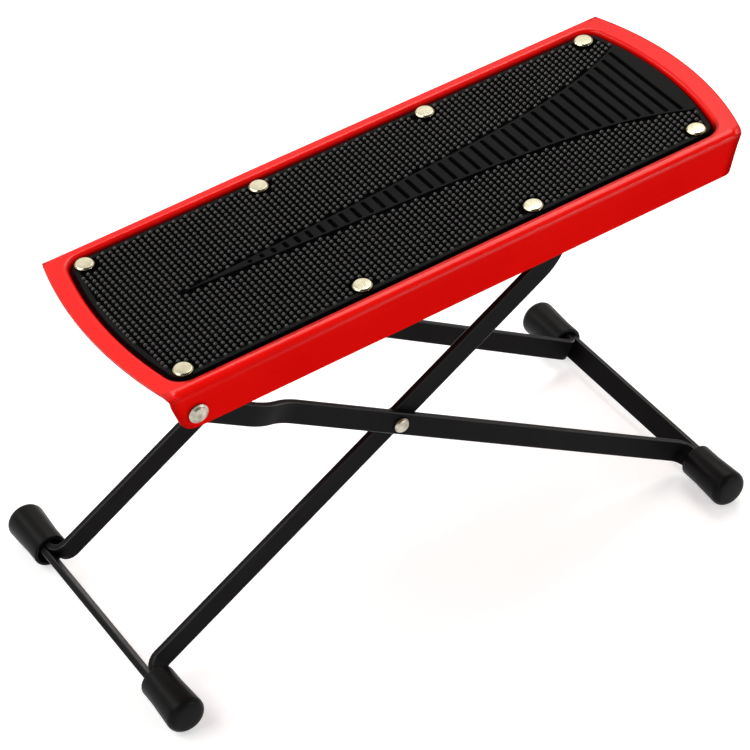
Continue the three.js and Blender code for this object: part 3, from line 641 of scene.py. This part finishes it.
def leg(name, node, body, place, side, top_out, low_out, length, joggle_start):
    """A leg with a round head, a joggle below it and a tab that is bent out into the foot."""
    half = BAR / 2
    tab_x = length - (BAR + SEAT_GAP) / 2
    line = bent_line([
        (0, top_out - half),
        (joggle_start, top_out - half),
        (joggle_start + JOGGLE_RUN, low_out - half),
        (tab_x, low_out - half),
        (tab_x, low_out + MOUTH_FROM_LEG + FOOT_DEPTH - SEAT_GAP),
    ], [JOGGLE_RADIUS, JOGGLE_RADIUS, FOOT_BEND_RADIUS])
    radius = BAR_WIDTH / 2
    head, widths = [], []
    for step in range(1, BAR_HEAD_STEPS):
        angle = QUARTER_TURN * step / BAR_HEAD_STEPS
        head.append(Vector((-radius * math.cos(angle), top_out - half)))
        widths.append(radius * math.sin(angle))
    line = head + [line[0], line[0].lerp(line[1], 0.5)] + line[1:]
    widths += [radius] * (len(line) - len(widths))
    bar(name, node, body, on_side(place, side), line, widths)


def crossbar(name, node, body, place, length, out):
    reach = out + MOUTH_FROM_LEG + FOOT_DEPTH - SEAT_GAP
    x = length + (BAR + SEAT_GAP) / 2
    line = [Vector((x, y)) for y in (-reach, -reach / 2, 0, reach / 2, reach)]
    bar(name, node, body, place, line, [BAR_WIDTH / 2] * len(line))


def foot(name, node, body, place, side, length, out):
    """A cap with a collar at its mouth, flaring to a domed end."""
    mouth = FOOT_BORE + FOOT_WALL
    widest = mouth + FOOT_FLARE
    start = out + MOUTH_FROM_LEG
    end = start + FOOT_LENGTH
    inner_lip, outer_lip = FOOT_LIP_RADII
    corners = [
        (0, start + FOOT_DEPTH, 0),
        (FOOT_BORE, start + FOOT_DEPTH, 0),
        (FOOT_BORE, start, inner_lip),
        (mouth, start, outer_lip),
        (mouth, start + FOOT_COLLAR_LENGTH, 0),
        (widest, end - FOOT_END_DOME, FOOT_END_RADIUS),
        (widest * FOOT_DOME_SHARE, end - FOOT_END_DOME / 2, 0),
        (0, end, 0),
    ]
    verts, faces = lathe(rounded(corners), FOOT_STEPS)
    turned = on_side(place, side) @ Matrix.Translation((length, 0, 0))
    made(name, verts, faces, turned, body, [node], sharp=50)


for side in (NEAR, FAR):
    word = side_name(side)
    leg(f"outer_leg_{word}_bar", f"outer_leg_{word}", "outer_frame", outer_place, side,
        OUTER_TOP_OUT, OUTER_OUT, OUTER_LENGTH, OUTER_JOGGLE_START)
    leg(f"inner_leg_{word}_bar", f"inner_leg_{word}", "inner_frame", inner_place, side,
        INNER_TOP_OUT, INNER_OUT, INNER_LENGTH, INNER_JOGGLE_START)
    foot(f"rear_foot_{word}_cap", f"rear_foot_{word}", "outer_frame", outer_place, side,
         OUTER_LENGTH, OUTER_OUT)
    foot(f"front_foot_{word}_cap", f"front_foot_{word}", "inner_frame", inner_place, side,
         INNER_LENGTH, INNER_OUT)
crossbar("rear_crossbar_bar", "rear_crossbar", "outer_frame", outer_place, OUTER_LENGTH, OUTER_OUT)
crossbar("front_crossbar_bar", "front_crossbar", "inner_frame", inner_place, INNER_LENGTH, INNER_OUT)


# Rivets


def rivet_shape(crown, shank, tail, tail_height, tail_start, head_start):
    tail_end = tail_start - tail_height
    flat_fillet, wall_fillet = TAIL_FILLETS
    return lathe(rounded([
        (0, tail_end, 0),
        (tail * TAIL_FLAT, tail_end, flat_fillet),
        (tail, tail_start - tail_height * TAIL_WALL, wall_fillet),
        (tail, tail_start, 0),
        (shank, tail_start, 0),
        (shank, head_start, 0),
        (crown[0][0], head_start, 0),
        *((radius, head_start + height, fillet) for radius, height, fillet in crown),
        (0, head_start + crown[-1][1], 0),
    ]), RIVET_STEPS)


def rivet(name, node, body, place, shape, finish=None):
    verts, faces = shape
    widest = max(x for x, _, _ in verts)
    # The mask is 1 over the middle of the crown and falls to 0 at its rim, where rivet_steel paints shade.
    polish = [
        clamped((CROWN_SHADE_EDGE - math.hypot(x, z) / widest) / CROWN_SHADE_RUN)
        for x, _, z in verts
    ]
    made(name, verts, faces, place, body, [node], sharp=55, polish=polish, finish=finish)


upright = Matrix.Rotation(QUARTER_TURN, 4, "X")
number = 0
for side in (NEAR, FAR):
    for i, x in enumerate(RIVET_XS):
        number += 1
        under = RACK_UNDERSIDE_Z if i >= RIVETS_PER_SIDE - RACK_RIVETS else PAN_UNDERSIDE_Z
        shape = rivet_shape(**MAT_RIVET, tail_start=under - SEAT_GAP, head_start=MAT_TOP_Z + SEAT_GAP)
        turned = tray_place @ Matrix.Translation((x, side * RIVET_Y, 0)) @ upright
        rivet(f"mat_rivet_{number}_head", f"mat_rivet_{number}", "platform", turned, shape)

front_shape = rivet_shape(**FRONT_RIVET)
scissor_shape = rivet_shape(**SCISSOR_RIVET)
for side in (NEAR, FAR):
    word = side_name(side)
    rivet(f"front_pivot_rivet_{word}_head", f"front_pivot_rivet_{word}", "outer_frame",
          on_side(placed(front_pivot, 0), side), front_shape, pivot_metal)
    rivet(f"scissor_rivet_{word}_head", f"scissor_rivet_{word}", "outer_frame",
          on_side(scissor_place, side), scissor_shape, pivot_metal)


# Plates with bowed ends and round corners


def arc(cx, cy, radius, start, end, steps):
    angles = np.linspace(start, end, steps + 1)
    return [(cx + radius * math.cos(a), cy + radius * math.sin(a)) for a in angles]


def bowed_end(end_x, bulge, half, corner, offset):
    """The end of a plate on the +X side, moved outward by an offset."""
    end_radius = (bulge**2 + half**2) / (2 * bulge)
    cx = end_x - end_radius
    corner_y = half - corner
    corner_x = cx + math.sqrt((end_radius - corner) ** 2 - corner_y**2)
    meeting = math.atan2(corner_y, corner_x - cx)
    return (
        arc(corner_x, -corner_y, corner + offset, -QUARTER_TURN, -meeting, CORNER_STEPS)
        + arc(cx, 0, end_radius + offset, -meeting, meeting, BOW_STEPS)[1:-1]
        + arc(corner_x, corner_y, corner + offset, meeting, QUARTER_TURN, CORNER_STEPS)
    )


def plate_outline(plate, offset=0.0):
    rear = bowed_end(plate["rear"], plate["rear_bulge"], plate["half"], plate["corner"], offset)
    front = bowed_end(-plate["front"], plate["front_bulge"], plate["half"], plate["corner"], offset)
    front = [(-x, -y) for x, y in front]
    closed = []
    for start, row in ((front[-1], rear), (rear[-1], front)):
        for i in range(1, SIDE_STEPS):
            share = i / SIDE_STEPS
            closed.append((
                start[0] + (row[0][0] - start[0]) * share, start[1] + (row[0][1] - start[1]) * share,
            ))
        closed += row
    return closed


RECESS = {
    "half": TRAY_HALF - RECESS_SIDE_INSET, "corner": RECESS_CORNER,
    "front": FRONT_X + RECESS_FRONT_INSET, "front_bulge": RECESS_FRONT_BULGE,
    "rear": REAR_X - RECESS_REAR_INSET, "rear_bulge": RECESS_REAR_BULGE,
}
MAT_PLATE = {
    "half": RECESS["half"] - MAT_SIDE_GAP, "corner": RECESS["corner"] - MAT_SIDE_GAP,
    "front": RECESS["front"] + MAT_FRONT_GAP, "front_bulge": RECESS_FRONT_BULGE,
    "rear": RECESS["rear"] - MAT_REAR_GAP, "rear_bulge": RECESS_REAR_BULGE,
}


# Tray: below its rolled edges the flanges lean in a little before they hang straight


def softness(x):
    share = clamped((SOFT_START_X - x) / SOFT_RUN)
    return share * share * (3 - 2 * share)


def edge_rows(side, soft, depth):
    """The rows of the skin that lies a depth inside the sheet: distance out, level and polish."""
    roll = ROLL_RADIUS[side]
    crest = CREST_RADIUS + CREST_SOFTENING * soft
    start = EDGE_OUT - roll * math.sin(ROLL_TILT) - crest * (1 - math.sin(ROLL_TILT))
    rows = []
    for step in range(ROLL_STEPS):
        tilt = ROLL_TILT * step / ROLL_STEPS
        reach = roll - depth
        rows.append((start + reach * math.sin(tilt), reach * math.cos(tilt) - roll, 1.0))
    bend = max(LEAST_BEND, crest - depth)
    middle = (ROLL_TILT + CREST_TILT) / 2
    shift = (depth + bend - crest) / math.cos(CREST_TILT - middle)
    reach = roll - crest
    cy = start + reach * math.sin(ROLL_TILT) - shift * math.sin(middle)
    cz = reach * math.cos(ROLL_TILT) - roll - shift * math.cos(middle)
    for step in range(CREST_STEPS + 1):
        tilt = ROLL_TILT + (CREST_TILT - ROLL_TILT) * step / CREST_STEPS
        rows.append((cy + bend * math.sin(tilt), cz + bend * math.cos(tilt), 1 - CREST_DULLING * soft))
    y, z, _ = rows[-1]
    for step in range(1, LEAN_STEPS + 1):
        share = step / LEAN_STEPS
        rows.append((y + (TRAY_HALF - depth - y) * share, z + (LEAN_END_Z - z) * share, 0.0))
    for step in range(1, HANG_STEPS + 1):
        fall = math.sin(QUARTER_TURN * step / HANG_STEPS)
        rows.append((TRAY_HALF - depth, LEAN_END_Z - (FLANGE_DEPTH + LEAN_END_Z) * fall, 0.0))
    return rows


def bow(y, end_x, bulge):
    """Where the bowed end of the sheet lies at a distance y from the middle, on the +X side."""
    radius = (bulge**2 + EDGE_OUT**2) / (2 * bulge)
    return end_x - radius + math.sqrt(radius**2 - y * y)


def flange_end(z, slant, radius):
    """Where a flange ends at level z, on the +X side: a line that leans in, then a round corner."""
    rise = FLANGE_DEPTH + FLANGE_TOP_Z
    run = math.hypot(rise, slant)
    cz = -FLANGE_DEPTH + radius
    line_x = REAR_CORNER_X - slant * (FLANGE_TOP_Z - cz) / rise
    cx = line_x - radius * run / rise
    if z >= cz + radius * (-slant / run):
        return REAR_CORNER_X - slant * (FLANGE_TOP_Z - z) / rise
    return cx + math.sqrt(max(0.0, radius**2 - (z - cz) ** 2))


def sheet_end(row, y, z, end_x, bulge, slant, radius, easing):
    """Where a row of the tray ends, on the +X side, its corner eased by a fraction of a millimetre."""
    if row <= ROLL_STEPS + CREST_STEPS:
        ease = max(0.0, (y - EDGE_OUT) / EASE_RUN + 1)
        return bow(y, end_x, bulge) - easing * ease**2
    ease = max(0.0, 1 - (row - ROLL_STEPS - CREST_STEPS) / LEAN_STEPS)
    return flange_end(z, slant, radius) - easing * ease**2


def shoulder(depth):
    """From the floor of the recess up to the rim: distance out from its outline, level, painted shade."""
    low, top = SHOULDER_LOW_RADIUS, SHOULDER_TOP_RADIUS
    drop, run = 1 - math.cos(SHOULDER_TILT), math.sin(SHOULDER_TILT)
    straight = (RECESS_DEPTH - (low + top) * drop) / math.tan(SHOULDER_TILT)
    rim = SHOULDER_FOOT + (low + top) * run + straight
    arcs = []
    for step in range(SHOULDER_STEPS + 1):
        tilt = SHOULDER_TILT * step / SHOULDER_STEPS
        out = SHOULDER_FOOT + low * math.sin(tilt)
        arcs.append((tilt, out, low * (1 - math.cos(tilt)) - RECESS_DEPTH))
    for step in range(SHOULDER_STEPS + 1):
        tilt = SHOULDER_TILT * (1 - step / SHOULDER_STEPS)
        arcs.append((tilt, rim - top * math.sin(tilt), top * (math.cos(tilt) - 1)))
    # Painted shade: full at the foot of the shoulder, fading out on the way up.
    return [
        (out + depth * math.sin(tilt), z - depth * math.cos(tilt), clamped((SHADE_TOP_Z - z) / SHADE_RUN))
        for tilt, out, z in arcs
    ]


class TraySkin:
    """The outer skin of the tray, or the skin that lies a depth inside the sheet, with how polished
    and how much painted shade each vertex has, and the vertices along its boundary."""

    def __init__(self, depth):
        self.depth = depth
        self.verts, self.faces, self.polish, self.painted_shade = [], [], [], []
        near, far = self.edge(NEAR), self.edge(FAR)
        rear = self.end(near[0][-1], far[0][-1], 1, REAR_X, REAR_END["bulge"])
        front = self.end(far[0][0], near[0][0], -1, -FRONT_X, FRONT_END["bulge"])
        rim = self.outer_band(near[0] + rear + far[0][::-1] + front)
        self.fill_rim(rim, self.recess()[::-1])
        self.boundary = (
            [row[0] for row in near] + near[-1][1:-1] + [row[-1] for row in near[::-1]] + rear
            + [row[-1] for row in far] + far[-1][-2:0:-1] + [row[0] for row in far[::-1]] + front
        )

    def row(self, points, polish=None, painted_shade=None):
        """Adds vertices, by default polished and without painted shade, and returns their numbers."""
        start = len(self.verts)
        self.verts += points
        self.polish += polish or [1.0] * len(points)
        self.painted_shade += painted_shade or [0.0] * len(points)
        return list(range(start, len(self.verts)))

    def edge(self, side):
        """The rolled edge and the flange of one side, in rows from the top down that run rearward."""
        columns = range(TRAY_COLUMNS + 1)
        xs = [FRONT_CORNER_X + TRAY_LENGTH * i / TRAY_COLUMNS for i in columns]
        sections = [edge_rows(side, softness(x), self.depth) for x in xs]
        soft_rows, firm_rows = edge_rows(side, 1, 0), edge_rows(side, 0, 0)
        rows = []
        for row, (soft_place, firm_place) in enumerate(zip(soft_rows, firm_rows)):
            front = -sheet_end(row, *soft_place[:2], -FRONT_X, **FRONT_END)
            rear = sheet_end(row, *firm_place[:2], REAR_X, **REAR_END)
            points, polish = [], []
            for i, section in enumerate(sections):
                y, z, shine = section[row]
                points.append((front + (rear - front) * i / TRAY_COLUMNS, side * y, z))
                polish.append(shine)
            rows.append(self.row(points, polish))
        for a, b in zip(rows, rows[1:]):
            for i in range(TRAY_COLUMNS):
                face = (a[i], b[i], b[i + 1], a[i + 1])
                self.faces.append(face if side == NEAR else face[::-1])
        return rows

    def end(self, start, stop, facing, end_x, bulge):
        """The bowed end of the top face between two of its corners."""
        ys = np.linspace(self.verts[start][1], self.verts[stop][1], TRAY_END_STEPS + 1)[1:-1]
        return self.row([(facing * bow(y, end_x, bulge), y, -self.depth) for y in ys])

    def outer_band(self, outside):
        """A strip of the top face inside its outline."""
        loop = np.array([self.verts[i][:2] for i in outside])
        run = np.roll(loop, -1, 0) - np.roll(loop, 1, 0)
        run /= np.linalg.norm(run, axis=1)[:, None]
        inset = loop + OUTER_BAND * np.stack([-run[:, 1], run[:, 0]], 1)
        rim = self.row([(x, y, -self.depth) for x, y in inset])
        for i in range(len(rim)):
            j = (i + 1) % len(rim)
            self.faces.append((outside[i], outside[j], rim[j], rim[i]))
        return rim

    def recess(self):
        """The floor of the recess and its shoulder. Returns the ring on the flat rim around them."""
        levels = shoulder(self.depth)
        (foot_out, *foot_rest), (top_out, *top_rest) = levels[0], levels[-1]
        levels = [(foot_out - FLOOR_BAND, *foot_rest), *levels, (top_out + RIM_BAND, *top_rest)]
        rings = []
        for offset, z, shade_level in levels:
            points = [(x, y, z) for x, y in plate_outline(RECESS, offset)]
            # Along the near side the painted shade reaches further up the shoulder.
            rise = min(1.0, (top_out - offset) / NEAR_SHADE_RISE)
            near = [clamped((NEAR_SHADE_REACH - RECESS["half"] - y) / NEAR_SHADE_FADE) for _, y, _ in points]
            shine = max(0.0, 1 + POLISH_FALL * (z + self.depth) / RECESS_DEPTH)
            rings.append(self.row(points, [shine] * len(points), [max(shade_level, n * rise) for n in near]))
        for low, high in zip(rings, rings[1:]):
            for i in range(len(low)):
                j = (i + 1) % len(low)
                self.faces.append((low[i], high[i], high[j], low[j]))
        self.faces.append(tuple(rings[0]))
        return rings[-1]

    def fill_rim(self, rim, inside):
        flat = rim + inside
        outlines = [[Vector(self.verts[i]) for i in ring] for ring in (rim, inside)]
        for triangle in tessellate_polygon(outlines):
            a, b, c = (flat[i] for i in triangle)
            va, vb, vc = (Vector(self.verts[i]) for i in (a, b, c))
            self.faces.append((a, b, c) if (vb - va).cross(vc - va).z > 0 else (a, c, b))


def tray_sheet():
    """Both skins of the sheet, joined along their boundary. The inner one has no painted shade."""
    outer, inner = TraySkin(0.0), TraySkin(SHEET)
    count = len(outer.verts)
    faces = outer.faces + [tuple(count + i for i in face[::-1]) for face in inner.faces]
    edge, inner_edge = outer.boundary, [count + i for i in inner.boundary]
    for i in range(len(edge)):
        j = (i + 1) % len(edge)
        faces.append((edge[j], edge[i], inner_edge[i], inner_edge[j]))
    layers = {"polish": outer.polish + inner.polish, "painted_shade": outer.painted_shade + [0.0] * len(inner.verts)}
    return outer.verts + inner.verts, faces, layers


sheet_verts, sheet_faces, sheet_layers = tray_sheet()
tray = made("platform_tray_sheet", sheet_verts, sheet_faces, tray_place, "platform", ["platform_tray"],
            sharp=0, **sheet_layers)
soften = tray.modifiers.new("edges", "BEVEL")
soften.width = SHEET_BEVEL * MM
soften.segments = 2
soften.limit_method = "ANGLE"
soften.angle_limit = SHEET_BEVEL_ANGLE
bake(tray)
tray.data.shade_smooth()


# Mat


def tread_half(x):
    share = (x - TREAD_TIP_X) / (MAT_PLATE["rear"] - TREAD_TIP_X)
    return TREAD_TAPER * share + TREAD_FLARE * share**TREAD_FLARE_POWER if share > 0 else 0.0


def mat_base():
    radius = MAT_EDGE_RADIUS
    steps = [(0.0, MAT_BOTTOM_Z), (0.0, MAT_TOP_Z - radius)]
    for i in range(1, MAT_EDGE_STEPS + 1):
        angle = QUARTER_TURN * i / MAT_EDGE_STEPS
        steps.append((-radius * (1 - math.cos(angle)), MAT_TOP_Z - radius + radius * math.sin(angle)))
    return skin([[(x, y, z) for x, y in plate_outline(MAT_PLATE, offset)] for offset, z in steps])


def mat_field():
    points = [(x, y, MAT_TOP_Z + FIELD_LIFT) for x, y in plate_outline(MAT_PLATE, -FIELD_MARGIN)]
    return points, [range(len(points))]


def inside_outline(points, outline):
    """Which points lie inside, by counting how often a line from each crosses the outline."""
    no_zero = 1e-12
    inside = np.zeros(len(points), bool)
    outline = np.array(outline)
    x, y = points[:, 0], points[:, 1]
    for (x1, y1), (x2, y2) in zip(outline, np.roll(outline, -1, 0)):
        crossing = ((y1 > y) != (y2 > y)) & (x < (x2 - x1) * (y - y1) / (y2 - y1 + no_zero) + x1)
        inside ^= crossing
    return inside


def pebble_centres():
    """Staggered over the mat, clear of its edge, the tread and the rivets."""
    columns = np.arange(-PEBBLE_COLUMNS, PEBBLE_COLUMNS + 1)
    rows = np.arange(-PEBBLE_ROWS, PEBBLE_ROWS + 1)
    points = np.array([
        (column * PEBBLE_COLUMN, (row + 0.5 * (column % 2)) * PEBBLE_ROW + PEBBLE_SHIFT)
        for column in columns for row in rows
    ])
    points = points[inside_outline(points, plate_outline(MAT_PLATE, -PEBBLE_MARGIN))]
    half = np.array([tread_half(x) for x in points[:, 0]])
    beside_tread = np.abs(points[:, 1] - TREAD_SHIFT) > half + PEBBLE_TO_TREAD
    ahead_of_tip = points[:, 0] < TREAD_TIP_X - PEBBLE_TO_TIP
    points = points[beside_tread | ahead_of_tip]
    for x in RIVET_XS:
        for y in (-RIVET_Y, RIVET_Y):
            points = points[np.hypot(points[:, 0] - x, points[:, 1] - y) > PEBBLE_TO_RIVET]
    return points


def pebbles():
    steps = PEBBLE_SIDES
    base_z = MAT_TOP_Z - PEBBLE_SINK
    verts, faces = [], []
    for x, y in pebble_centres():
        start = len(verts)
        for share, height in PEBBLE_RINGS:
            for i in range(steps):
                angle = 2 * math.pi * i / steps
                verts.append((
                    x + PEBBLE_RADIUS * share * math.cos(angle), y + PEBBLE_RADIUS * share * math.sin(angle),
                    base_z + PEBBLE_HEIGHT * height,
                ))
        verts.append((x, y, base_z + PEBBLE_HEIGHT))
        for ring in range(len(PEBBLE_RINGS) - 1):
            a = start + ring * steps
            for i in range(steps):
                j = (i + 1) % steps
                faces.append((a + i, a + j, a + steps + j, a + steps + i))
        last = start + (len(PEBBLE_RINGS) - 1) * steps
        for i in range(steps):
            faces.append((last + i, last + (i + 1) % steps, len(verts) - 1))
    return verts, faces


def groove_outline(x, half_length, half_width):
    radius = half_width * GROOVE_ROUNDING
    points = []
    for corner, (cx, cy) in enumerate(((1, 1), (-1, 1), (-1, -1), (1, -1))):
        for step in range(GROOVE_CORNER_STEPS + 1):
            angle = QUARTER_TURN * corner + QUARTER_TURN * step / GROOVE_CORNER_STEPS
            points.append((
                x + cx * (half_width - radius) + radius * math.cos(angle),
                TREAD_SHIFT + cy * (half_length - radius) + radius * math.sin(angle),
            ))
    return points


def tread_outline():
    """From the tip back along the near side, across the rear end and forward along the far side."""
    shares = np.linspace(0, 1, TREAD_SIDE_STEPS + 1)[1:] ** TREAD_SIDE_SPACING
    xs = TREAD_TIP_X + (MAT_PLATE["rear"] - TREAD_TIP_X) * shares
    bulge = MAT_PLATE["rear_bulge"]
    radius = (bulge**2 + MAT_PLATE["half"] ** 2) / (2 * bulge)
    cx = MAT_PLATE["rear"] - radius
    near, far, end = [], [], []
    for x in xs:
        half = tread_half(x)
        for row, y in ((near, TREAD_SHIFT - half), (far, TREAD_SHIFT + half)):
            if math.hypot(x - cx, y) <= radius - TREAD_SIDE_MARGIN:
                row.append((x, y))
    for y in np.linspace(near[-1][1], far[-1][1], TREAD_END_STEPS + 1):
        end.append((cx + math.sqrt((radius - TREAD_REAR_MARGIN) ** 2 - y * y), y))
    return [(TREAD_TIP_X - TREAD_TIP_OVERRUN, TREAD_SHIFT)] + near + end + far[::-1]


def tread_outlines():
    outlines = [tread_outline()]
    for x in np.linspace(FIRST_GROOVE_X, LAST_GROOVE_X, GROOVES):
        half = tread_half(x)
        reach = half - GROOVE_LAND * half / (half + GROOVE_FADE)
        outlines.append(groove_outline(x, reach, GROOVE_WIDTH / 2 - GROOVE_TRIM))
    return outlines


def tread():
    """The tread as a filled outline with a slot for each groove, rounded at every edge."""
    root_z = MAT_TOP_Z - TREAD_ROOT
    curve = bpy.data.curves.new("tread_curve", "CURVE")
    curve.dimensions = "2D"
    curve.fill_mode = "BOTH"
    curve.bevel_depth = TREAD_BEVEL * MM
    curve.bevel_resolution = 2
    curve.offset = -TREAD_BEVEL * MM
    curve.extrude = ((TREAD_TOP_Z - root_z) / 2 - TREAD_BEVEL) * MM
    for outline in tread_outlines():
        spline = curve.splines.new("POLY")
        spline.points.add(len(outline) - 1)
        for point, (x, y) in zip(spline.points, outline):
            point.co = (x * MM, y * MM, 0, 1)
        spline.use_cyclic_u = True
    thing = bpy.data.objects.new("tread_curve", curve)
    bpy.context.scene.collection.objects.link(thing)
    bpy.context.view_layer.update()
    mesh = bpy.data.meshes.new_from_object(thing.evaluated_get(bpy.context.evaluated_depsgraph_get()))
    bpy.data.objects.remove(thing)
    middle = (TREAD_TOP_Z + MAT_TOP_Z - TREAD_ROOT) / 2
    verts = [(v.co.x / MM, v.co.y / MM, v.co.z / MM + middle) for v in mesh.vertices]
    faces = [tuple(p.vertices) for p in mesh.polygons]
    return verts, faces


made("rubber_mat_sheet", *mat_base(), tray_place, "platform", ["rubber_mat"], sharp=60, weighted=True)
# A near-black sheet just above the mat paints the shade between the pebbles and in the tread's grooves.
made("rubber_mat_field", *mat_field(), tray_place, "platform", ["rubber_mat"], sharp=0,
     finish=shaded_rubber)
made("rubber_mat_pebbles", *pebbles(), tray_place, "platform", ["rubber_mat"], sharp=0,
     finish=pebble_rubber)
made("rubber_mat_tread", *tread(), tray_place, "platform", ["rubber_mat"], sharp=50, weighted=True)


# Stage, lights and camera, with places and sizes in metres

FLOOR_HALF = 6.0
FLOOR_DROP = 0.0003
FLOOR_GLOW = 0.5  # for the rays that see the floor directly, in a mirror or through glass
ROOM_LEVELS = ((0.0, 0.60), (0.35, 0.72), (0.60, 1.25), (0.80, 0.35), (0.95, 0.08))
ROOM_TINT = (1, 0.975, 0.9)
AWAY_FROM_CAMERA = (0.49, 0.87, 0)
PHOTO_SIDE = 750  # in pixels, like the focal length
FOCAL_LENGTH = 3042.95
SENSOR = 36.0
TRAY_TO_CAMERA_TURN = Vector((2.1954, -0.6815, 0.2023))  # about this axis, by its length in radians
TRAY_TO_CAMERA_SHIFT = Vector((8.5217, -77.3166, 1308.5027))  # in millimetres


def floor_material():
    material = bpy.data.materials.new("floor_white")
    material.use_nodes = True
    nodes, links = material.node_tree.nodes, material.node_tree.links
    surface = nodes["Principled BSDF"]
    surface.inputs["Base Color"].default_value = (0.74, 0.755, 0.79, 1)
    surface.inputs["Roughness"].default_value = 0.9
    surface.inputs["Specular IOR Level"].default_value = 0.1
    glow = nodes.new("ShaderNodeEmission")
    path = nodes.new("ShaderNodeLightPath")
    seen = path.outputs["Is Camera Ray"]
    for kind in ("Is Glossy Ray", "Is Transmission Ray"):
        either = nodes.new("ShaderNodeMath")
        either.operation = "MAXIMUM"
        links.new(seen, either.inputs[0])
        links.new(path.outputs[kind], either.inputs[1])
        seen = either.outputs[0]
    power = nodes.new("ShaderNodeMath")
    power.operation = "MULTIPLY"
    power.inputs[1].default_value = FLOOR_GLOW
    links.new(seen, power.inputs[0])
    links.new(power.outputs[0], glow.inputs["Strength"])
    both = nodes.new("ShaderNodeAddShader")
    links.new(surface.outputs[0], both.inputs[0])
    links.new(glow.outputs[0], both.inputs[1])
    open_below = nodes.new("ShaderNodeMixShader")
    links.new(nodes.new("ShaderNodeNewGeometry").outputs["Backfacing"], open_below.inputs[0])
    links.new(both.outputs[0], open_below.inputs[1])
    links.new(nodes.new("ShaderNodeBsdfTransparent").outputs[0], open_below.inputs[2])
    links.new(open_below.outputs[0], nodes["Material Output"].inputs["Surface"])
    return material


def floor():
    mesh = bpy.data.meshes.new("floor")
    corners = [(x * FLOOR_HALF, y * FLOOR_HALF, 0) for x, y in ((-1, -1), (1, -1), (1, 1), (-1, 1))]
    mesh.from_pydata(corners, [], [(0, 1, 2, 3)])
    thing = bpy.data.objects.new("floor", mesh)
    bpy.context.scene.collection.objects.link(thing)
    thing.location.z = -FLOOR_DROP
    mesh.materials.append(floor_material())


def area_light(name, place, aim, size, power, color=(1, 1, 1), shape="RECTANGLE"):
    data = bpy.data.lights.new(name, "AREA")
    data.energy = power
    data.color = color
    data.shape = shape
    data.size, data.size_y = size
    thing = bpy.data.objects.new(name, data)
    thing.location = place
    thing.rotation_euler = (Vector(aim) - Vector(place)).to_track_quat("-Z", "Y").to_euler()
    bpy.context.scene.collection.objects.link(thing)


def studio_room():
    """A pale room, brightest part of the way up its walls, dark overhead and dim on the camera's side."""
    world = bpy.data.worlds.new("studio")
    bpy.context.scene.world = world
    world.use_nodes = True
    nodes, links = world.node_tree.nodes, world.node_tree.links
    background = nodes["Background"]
    toward = nodes.new("ShaderNodeSeparateXYZ")
    direction = nodes.new("ShaderNodeTexCoord").outputs["Generated"]
    links.new(direction, toward.inputs["Vector"])
    walls = nodes.new("ShaderNodeValToRGB")
    elements = walls.color_ramp.elements
    while len(elements) < len(ROOM_LEVELS):
        elements.new(0.5)
    for element, (height, level) in zip(elements, ROOM_LEVELS):
        element.position = height
        element.color = (*(share * level for share in ROOM_TINT), 1)
    links.new(toward.outputs["Z"], walls.inputs["Fac"])
    links.new(walls.outputs["Color"], background.inputs["Color"])
    away = nodes.new("ShaderNodeVectorMath")
    away.operation = "DOT_PRODUCT"
    away.inputs[1].default_value = AWAY_FROM_CAMERA
    links.new(direction, away.inputs[0])
    dim = nodes.new("ShaderNodeMapRange")
    for name, value in (("From Min", -0.6), ("From Max", 0.3), ("To Min", 0.25), ("To Max", 1.0)):
        dim.inputs[name].default_value = value
    links.new(away.outputs["Value"], dim.inputs["Value"])
    links.new(dim.outputs["Result"], background.inputs["Strength"])


def photo_camera():
    """The photograph's camera, whose place was solved in the tray's frame, with Y down and Z ahead."""
    data = bpy.data.cameras.new("camera")
    camera = bpy.data.objects.new("camera", data)
    bpy.context.scene.collection.objects.link(camera)
    bpy.context.scene.camera = camera
    data.sensor_width = SENSOR
    data.lens = FOCAL_LENGTH * SENSOR / PHOTO_SIDE
    data.clip_start = 0.1
    data.clip_end = 20
    turn = TRAY_TO_CAMERA_TURN
    to_camera = Matrix.Translation(TRAY_TO_CAMERA_SHIFT) @ Matrix.Rotation(turn.length, 4, turn)
    eye = tray_place @ to_camera.inverted() @ Matrix.Diagonal((1, -1, -1, 1))
    eye.translation *= MM
    camera.matrix_world = eye


floor()
area_light("key", (1.0, 0.93, 2.4), (0, 0, 0.15), (1.6, 1.6), 28.0, (1, 0.955, 0.87), "DISK")
area_light("left_softbox", (-1.55, 0.4, 2.05), (0, 0, 0.15), (1.6, 1.6), 34.0, (1, 0.97, 0.92))
area_light("rear_left_card", (-1.25, 1.72, 1.42), (0, 0, 0.1), (0.6, 0.6), 5.0)
area_light("right_strip", (0.75, -1.10, 0.40), (0, 0, 0.15), (0.6, 0.06), 4.2, (1, 0.95, 0.88))
area_light("left_strip", (-0.92, -0.88, 0.36), (0, 0, 0.12), (0.7, 0.1), 1.4)
studio_room()
photo_camera()

bpy.context.scene.view_settings.view_transform = "Standard"
